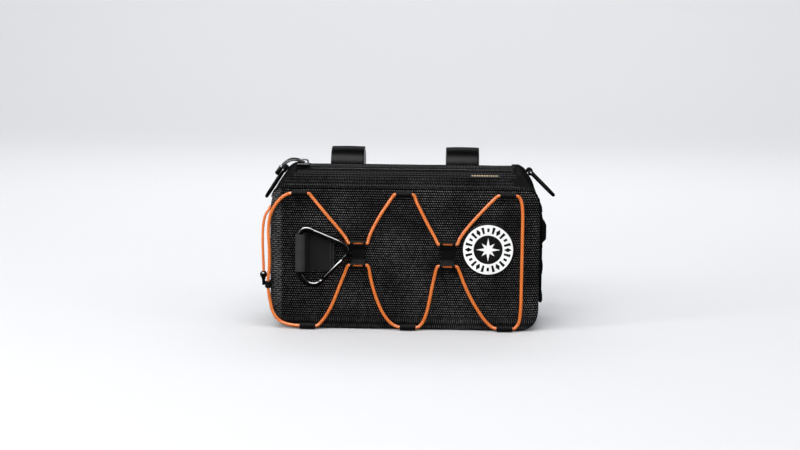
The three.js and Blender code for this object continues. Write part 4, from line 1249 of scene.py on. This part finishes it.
def cut(piece, tool):
    trim = piece.modifiers.new("cut", "BOOLEAN")
    trim.operation, trim.object, trim.solver = "DIFFERENCE", tool, "EXACT"
    apply_modifiers(piece)
    bpy.data.objects.remove(tool)


def plain_object(form, name):
    mesh = form.mesh(name)
    merge_points(mesh)
    made = bpy.data.objects.new(name, mesh)
    bpy.context.scene.collection.objects.link(made)
    return made


def carabiner_body():
    rod = Form()
    rod.tube(smooth_path([(x, CARABINER_Y, z) for x, z in CARABINER_ROUTE], 0.7), ROD, 28)
    piece = rod.build("carabiner_rod", "carabiner", [black_metal], "gloss_metal", ["carabiner_body"], sharp=50)
    slot = Form()
    corners = [by_gate(*spot) for spot in ((-2.6, -6), (-2.6, 6), (9, 6), (9, -6))]
    outer = np.array([[corners[0], corners[1]], [corners[3], corners[2]]]) + (0, 1.2, 0)
    slot.shell(outer, outer - (0, 2.4, 0), [0, 1], [0, 1])
    cut(piece, plain_object(slot, "slot_tool"))
    piece.data.set_sharp_from_angle(angle=math.radians(40))
    return piece


carabiner_body()


# %% Gate and rivet
def gate():
    length = float(np.linalg.norm(NOSE - HINGE))
    low, high = PIN_AT + ROD + 0.4, length - 0.5
    profile = [(1.5, low), (1.95, low + 0.25), (2.1, low + 0.8), (2.1, high - 3.2), (1.9, high - 3.0),
               (1.9, high - 2.4), (2.1, high - 2.2), (2.1, high - 0.7), (1.8, high - 0.2), (1.3, high)]
    form = Form()
    form.turned(profile, HINGE, GATE_RUN, 28)
    rim = [by_gate(PIN_AT - 1.8 * math.cos(a), 1.8 * math.sin(a)) for a in np.linspace(-1.9, 1.9, 9)]
    tongue = np.array([by_gate(low + 0.9, -1.5), *rim, by_gate(low + 0.9, 1.5)])
    form.plate(tongue + (0, 0.85, 0), tongue - (0, 0.85, 0))
    form.build("carabiner_gate_rod", "gate", [black_metal], "gloss_metal", ["carabiner_gate"], sharp=45)
    pin = Form()
    pin.turned([(0.5, -2.45), (0.8, -2.3), (0.8, 2.3), (0.5, 2.45)], by_gate(PIN_AT), (0, 1, 0), 20)
    return pin.build("carabiner_pin", "carabiner", [black_metal], "gloss_metal", ["carabiner_rivet"], sharp=45)


gate()

# %% [markdown]
# ## The band round the carabiner
# A wide strip of coated cloth is folded round the carabiner's spine and sewn flat to the front. Seen
# from above it is a loop that closes into two layers, so its middle line is drawn that way and given
# its thickness. The sewn end shows two rows of stitches.

# %% Folded band
BAND_LOW, BAND_HIGH, BAND_BACK = 53.6, 87.2, -48.8


def folded_band():
    cx, cy, r = -92.1, CARABINER_Y, 4.15
    near, far = BAND_BACK - 1.1 - 0.55, BAND_BACK - 0.55
    arc = [(cx + r * math.cos(a), cy + r * math.sin(a)) for a in np.radians(np.linspace(-68, -272, 16))]
    line = smooth_path([(-61.9, near), (-70, near), (-79, near), (-83.6, near - 0.1), (-86.8, -54.4), *arc,
                        (-90.6, far - 0.4), (-87, far), (-76, far), (-61.9, far)], 0.5)
    heights = np.linspace(BAND_LOW, BAND_HIGH, 40)
    thick = []
    for shift in (-0.52, 0.52):
        edge = beside(line, shift)
        rows = []
        for x, y in edge:
            wave = 0.25 * np.sin(heights * 0.45) * np.clip((-80 - x) / 8, 0, 1)
            rows.append([(x, y - (w if x < -80 and y < -51 else 0), h) for w, h in zip(wave, heights)])
        thick.append(np.array(rows))
    # Painted highlight: the part folded round the spine takes the lighter copy of the coated cloth.
    folded = (line[1:, 0] + line[:-1, 0])[:, None] / 2 < -88.4
    return sheet_piece("carabiner_strap", *thick, run_length(line), heights,
                       [coated_cloth, fold_highlight_cloth], "coated_cloth", ["carabiner_band"],
                       finish=np.where(folded, 1, 0), sharp=50, bevel=0.25)


folded_band()


# %% [markdown]
# ## Stitches
# A sewn thread shows as short raised dashes that dip into the cloth at both ends. Each dash here is a
# small arched tube, which throws a real shadow and survives a close look. One helper sews along any
# line on any surface.

# %% Sewing
def sew(form, line, normals, stitch=2.3, gap=0.7, thickness=0.28):
    run = run_length(line)
    count = int(run[-1] / (stitch + gap))
    for k in range(count):
        start = k * (stitch + gap) + gap / 2
        places = np.linspace(start, start + stitch, 5)
        spots = np.stack([np.interp(places, run, line[:, i]) for i in range(3)], axis=1)
        lifts = np.stack([np.interp(places, run, normals[:, i]) for i in range(3)], axis=1)
        rise = thickness * np.array([-0.6, 0.5, 0.8, 0.5, -0.6])[:, None]
        form.tube(spots + lifts * rise, thickness, 6, domed=False)


def stitch_piece(name, lines, **settings):
    seam = Form()
    for line, normal in lines:
        line = np.asarray(line, float)
        sew(seam, line, np.broadcast_to(np.asarray(normal, float), line.shape), **settings)
    return seam.build(name, "bag", [thread], "webbing", sharp=70)


band_face = BAND_BACK - 2.2
band_heights = np.linspace(BAND_LOW + 1.5, BAND_HIGH - 1.5, 8)
stitch_piece("band_stitches", [
    ([(x, band_face, z) for z in band_heights], (0, -1, 0)) for x in (-65.6, -62.9)
])

# %% [markdown]
# ## The round patch
# A moulded patch with a white ring. The ring carries plain ticks of two lengths with small diamonds
# between them, and the middle has an eight-pointed star. Each shape is a thin raised piece, so its
# edge is crisp from close by.

# %% Patch
PATCH_X, PATCH_Z, PATCH_R, PATCH_THICKNESS = 74.8, 74.7, 24.0, 1.6
white_print = coated("white_print", (0.84, 0.84, 0.83), grain=700.0, roughness=0.5)
patch_rubber = coated("patch_rubber", (0.003, 0.003, 0.0033), grain=600.0, depth=0.08,
                      roughness=0.5, specular=0.12)


def patch_face(x, z):
    return front_at(x, z) - SEAT - PATCH_THICKNESS


def raised_shape(form, outline, height, rings=1, hole=None):
    """A thin plate on the patch's face: an outline in x and z, and perhaps a hole with as many points."""
    outline = np.asarray(outline, float)
    inner = outline.mean(axis=0) if hole is None else hole
    steps = np.linspace(0, 1, rings + 1)[:, None, None]
    flat = outline * (1 - steps) + inner * steps + (PATCH_X, PATCH_Z)
    y = patch_face(flat[..., 0], flat[..., 1])
    top, base = (np.stack([flat[..., 0], face, flat[..., 1]], axis=2) for face in (y - height, y + 0.1))
    if hole is None:
        form.plate(top[0], base[0], [tuple(p) for p in flat[0]])
    else:
        form.shell(top, base, np.arange(len(top)), np.arange(top.shape[1] + 1), wrap=(False, True))


def circle(radius, count=96):
    angle = np.linspace(0, 2 * math.pi, count, endpoint=False)
    return np.stack([radius * np.cos(angle), radius * np.sin(angle)], axis=1)


def polar(shape, angle):
    """Turns a shape drawn along the radius to an angle round the patch."""
    radial = np.array((math.cos(angle), math.sin(angle)))
    cross = np.array((-math.sin(angle), math.cos(angle)))
    return np.array([radial * r + cross * t for r, t in shape])


def round_patch():
    disc = Form()
    profile = [(PATCH_R - 0.9, 0.0), (PATCH_R - 0.2, 0.25), (PATCH_R, 0.7), (PATCH_R - 0.1, 1.35),
               (PATCH_R - 0.6, 1.75), (PATCH_R - 1.2, 1.7), (PATCH_R - 1.6, 1.6)]
    count = 96
    rings = []
    for r, h in [*profile, *((r, PATCH_THICKNESS) for r in (22.0, 16.0, 9.0, 3.0))]:
        ring = circle(r, count) + (PATCH_X, PATCH_Z)
        rings.append(np.stack([ring[:, 0], front_at(ring[:, 0], ring[:, 1]) - SEAT - h, ring[:, 1]], axis=1))
    rings = np.array(rings)
    ids = disc.add_points(rings).reshape(len(rings), count)
    for r in range(len(rings) - 1):
        for c in range(count):
            n = (c + 1) % count
            four = (ids[r, c], ids[r, n], ids[r + 1, n], ids[r + 1, c])
            disc.add_face(four, [(0, 0)] * 4)
    disc.add_face(ids[-1], [(0, 0)] * count)
    disc.add_face(ids[0][::-1], [(0, 0)] * count)
    disc.build("patch_disc", "bag", [patch_rubber], "coated_cloth", ["round_patch"], sharp=45)
    print_ring = Form()
    raised_shape(print_ring, circle(22.2), 0.18, hole=circle(12.9), rings=5)
    star = []
    for k in range(16):
        radius = (10.6, 8.0)[(k // 2) % 2] if k % 2 == 0 else 3.7
        angle = math.pi * k / 8 + math.pi / 2
        star.append((radius * math.cos(angle), radius * math.sin(angle)))
    raised_shape(print_ring, star, 0.18)
    print_ring.build("patch_print", "bag", [white_print], "coated_cloth", sharp=45)
    marks = Form()
    for k in range(24):
        angle = 2 * math.pi * k / 24
        if k % 4 == 0:
            shape = [(14.2, 0), (17.55, 1.9), (20.9, 0), (17.55, -1.9)]
        elif k % 2:
            shape = [(14.6, -0.85), (20.5, -1.25), (20.5, 1.25), (14.6, 0.85)]
        else:
            shape = [(16.0, -0.9), (19.2, -1.1), (19.2, 1.1), (16.0, 0.9)]
        raised_shape(marks, polar(shape, angle), 0.3)
    return marks.build("patch_marks", "bag", [patch_rubber], "coated_cloth", sharp=45)


round_patch()

# %% [markdown]
# ## The small label
# A narrow woven label lies on the front band by the zip: a thin dark strip with a row of plain tan
# dashes on it, whose lengths are drawn at random from three.

# %% Label
label_cloth = ribbed("label_cloth", (0.012, 0.011, 0.010), rib=0.5, depth=0.05)
tan_thread = coated("tan_thread", (0.50, 0.38, 0.24), grain=2000.0, roughness=0.7)


def small_label():
    xs, ys = np.linspace(58.2, 85.3, 28), np.linspace(-29.0, -25.8, 5)
    outer = np.array([[(x, y, float(top_at(y)) + SEAT + 0.75) for x in xs] for y in ys])
    sheet_piece("label", outer, outer - (0, 0, 0.7), ys, xs, [label_cloth], "label_cloth",
                ["label_tab"], bevel=0.15)
    rng = np.random.default_rng(4)
    dashes, x = Form(), 59.6
    while x < 83.2:
        length = float(rng.choice([0.7, 1.0, 1.4]))
        sheet = np.array([[(x + dx, y, float(top_at(y)) + SEAT + 0.86) for dx in (0, length)]
                          for y in (-27.9, -26.8)])
        dashes.shell(sheet, sheet - (0, 0, 0.2), [0, 1], [0, 1])
        x += length + 0.85
    return dashes.build("label_dashes", "bag", [tan_thread], "label_cloth")


small_label()

# %% [markdown]
# ## Webbing on the right side
# A length of webbing runs down the middle of the right side. It is sewn flat apart from one slack
# loop that a light can be clipped to, and between its bar tacks it lifts a little off the cloth.

# %% Side webbing
def side_webbing():
    low, high = (np.array(corner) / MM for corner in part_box("side_webbing"))
    z = np.linspace(low[2] + 0.2, high[2] - 0.2, 150)
    share = (z - 22.0) / 95.0
    loop = np.clip((share - 0.575) / 0.05, 0, 1) * np.clip((0.805 - share) / 0.06, 0, 1)
    loop = 3.3 * loop * loop * (3 - 2 * loop)
    small = 0.9 * np.maximum(0, np.sin(share * 2 * math.pi * 3.4 + 0.4)) * (loop < 0.05)
    skin = side_at(0.0, z)
    line = np.stack([skin + 1.0 + loop + small, z], axis=1)
    ys = np.linspace(-19.9, -0.1, 11)
    sheets = [np.array([[(x, y, h) for y in ys] for x, h in beside(line, -0.75)]),
              np.array([[(x, y, h) for y in ys] for x, h in zip(skin - 0.3 + 0.15 * loop, z)])]
    sheet_piece("side_strip", *sheets, run_length(line), ys, [webbing], "webbing", ["side_webbing"],
                sharp=50, bevel=0.3)
    tacks = []
    for height in (24.5, 49.0, 73.5, 98.0, 106.0, 115.0):
        k = int(np.argmin(abs(z - height)))
        x = float(line[k, 0]) + 0.78
        for dz in (-0.8, 0.0, 0.8):
            tacks.append(([(x, y, height + dz) for y in np.linspace(-18.4, -1.6, 8)], (1, 0, 0)))
    return stitch_piece("side_tacks", tacks, stitch=1.5, gap=0.15, thickness=0.26)


side_webbing()

# %% [markdown]
# ## Rings at the shoulders
# Each shoulder has a D ring in a fold of webbing, for a shoulder strap. A ring swings about its
# straight side, so it rides on its own body, and the fold stays with the bag. The ring is one closed
# sweep, with its leaning angle taken from the measured pose.

# %% D rings
RING_PIVOT_X, RING_PIVOT_Z, RING_Y = 113.482, 138.771, 16.0


def d_ring(side, lean):
    half, straight, bend = 11.5, 20.0, 2.0
    route = [(0, 0), (half - bend, 0), (half - 0.3 * bend, -0.3 * bend), (half, -bend), (half, -straight)]
    bow = np.linspace(0, math.pi, 9)[1:-1]
    route += [(half * math.cos(a), -straight - half * math.sin(a)) for a in bow]
    route += [(-half, -straight), (-half, -bend), (0.3 * bend - half, -0.3 * bend), (bend - half, 0)]
    tilt = math.radians(lean)
    points = [(side * (RING_PIVOT_X - down * math.sin(tilt)), RING_Y + y,
               RING_PIVOT_Z + down * math.cos(tilt)) for y, down in route]
    ring = Form()
    ring.tube(smooth_path(points, 0.8, closed=True), 1.5, 20, closed=True)
    name = side_name(side)
    return ring.build(f"ring_{name}_wire", f"ring_{name}", [black_plastic], "gloss_black",
                      [f"d_ring_{name}"], sharp=70)


d_ring(-1, 32.8)
d_ring(1, 45.5)


# %% Folds that hold the rings
def ring_fold(side):
    shoulder = top_path(RING_Y)[:17]
    outer_run = [p for p in shoulder[::-1] if p[0] > -110.6]
    top = float(top_at(RING_Y))
    start = [(x, top + 0.95) for x in (-97.2, -100.0)]
    surface = beside(np.array([(-95.0, top), *outer_run]), -0.95)[2:]
    pivot = np.array((-RING_PIVOT_X, RING_PIVOT_Z))
    around = [pivot + 2.45 * np.array((math.cos(a), math.sin(a)))
              for a in np.radians([62, 95, 130, 165, 200, 235, 270, 300])]
    line = smooth_path([*start, *surface, *around], 0.5)
    ys = np.linspace(RING_Y - 8.9, RING_Y + 8.9, 11)
    sag = 0.4 * abs(ys - RING_Y) / 9
    sheets = [np.array([[(-side * x, y, z - s) for y, s in zip(ys, sag)] for x, z in beside(line, shift)])
              for shift in (0.55, -0.55)]
    name = side_name(side)
    return sheet_piece(f"ring_fold_{name}", *sheets, run_length(line), ys, [smooth_tape], "webbing",
                       [f"ring_tab_{name}"], sharp=50, bevel=0.25)


for side in (-1, 1):
    ring_fold(side)

# %% [markdown]
# ## Straps for the bar
# Two wide straps go round the handlebar. Outside they are black webbing, and inside they are lined
# with a pale grip cloth, whose edge shows from below. Each strap is one strip, up the back of the bag
# and round the bar. How its end is fastened isn't known, so no overlap is drawn.

# %% Strap loops
BAR_Y, BAR_Z, BAR_HOLE = 63.5, 136.8, 16.35
STRAP_WIDTH, STRAP_BACK = 31.3, 45.9
STRAPS = (("bar_strap_left", -57.5), ("bar_strap_right", 51.5))


def round_the_bar(radius, start, end, count):
    return [(BAR_Y + radius * math.cos(a), BAR_Z + radius * math.sin(a))
            for a in np.radians(np.linspace(start, end, count))]


def bar_strap(name, centre_x):
    tail = [(STRAP_BACK, 95.4), (STRAP_BACK, 104.0), (STRAP_BACK, 114.0), (STRAP_BACK + 0.2, 122.0)]
    line = smooth_path([*tail, *round_the_bar(BAR_HOLE + 1.75, 196, -118, 30)], 0.8)
    widths = np.linspace(-0.5, 0.5, 15) * STRAP_WIDTH
    crown = 0.35 * (1 - (2 * widths / STRAP_WIDTH) ** 2)
    sheets = []
    for shift, lift in ((0.62, 1.0), (-0.62, 0.0)):
        edge = beside(line, shift)
        out = (edge - line) / 0.62
        sheets.append(np.array([[(centre_x + w, y + o[0] * c * lift, z + o[1] * c * lift)
                                 for w, c in zip(widths, crown)] for (y, z), o in zip(edge, out)]))
    sheet_piece(name + "_outer", *sheets, run_length(line), widths, [strap_cloth], "webbing", [name],
                sharp=50, bevel=0.35)
    lining = np.array(round_the_bar(BAR_HOLE + 0.5, 184, -175, 80))
    layers = [np.array([[(centre_x + w * 1.012, y, z) for w in widths] for y, z in beside(lining, shift)])
              for shift in (0.42, -0.42)]
    sheet_piece(name + "_lining", *layers, run_length(lining), widths, [pale_felt], "webbing",
                sharp=50, bevel=0.2)


for name, centre_x in STRAPS:
    bar_strap(name, centre_x)

# %% Stitches on the strap tails
def strap_stitches(centre_x):
    y = STRAP_BACK + 0.68
    left, right, low, high = centre_x - 13.0, centre_x + 13.0, 97.5, 120.0
    box = [((left, low), (right, low)), ((right, low), (right, high)), ((right, high), (left, high)),
           ((left, high), (left, low)), ((left, low), (right, high)), ((left, high), (right, low))]
    shares = np.linspace(0, 1, 12)
    return [([(x0 + (x1 - x0) * t, y, z0 + (z1 - z0) * t) for t in shares], (0, 1, 0))
            for (x0, z0), (x1, z1) in box]


stitch_piece("strap_stitches", [line for _, x in STRAPS for line in strap_stitches(x)])

# %% [markdown]
# ## Rows of stitches on the seams
# Last come the long rows: four along the folded edges of the bands, one along each tape of the zip,
# and one on each band by its outer seam. They are the fine dotted lines that run across the whole
# bag.

# %% Zip and seam stitches
def row_across(half, y, lift, normal):
    z = float(top_at(y)) + lift
    return [(x, y, z) for x in np.linspace(-half, half, 120)], normal


band_rows = [row_across(101, y, 0.02, (0, -0.3, 0.95)) for y in (-28.05, -25.4, ZIP_END + 1.4, 9.15)]
tape_rows = [row_across(98, y, -0.4, (0, 0, 1)) for y in (-20.6, 1.6)]
stitch_piece("zip_stitches", band_rows + tape_rows)
stitch_piece("seam_stitches", [row_across(104, y, 0.05, (0, lean, 0.86))
                               for y, lean in ((-39.4, -0.5), (38.7, 0.4))])
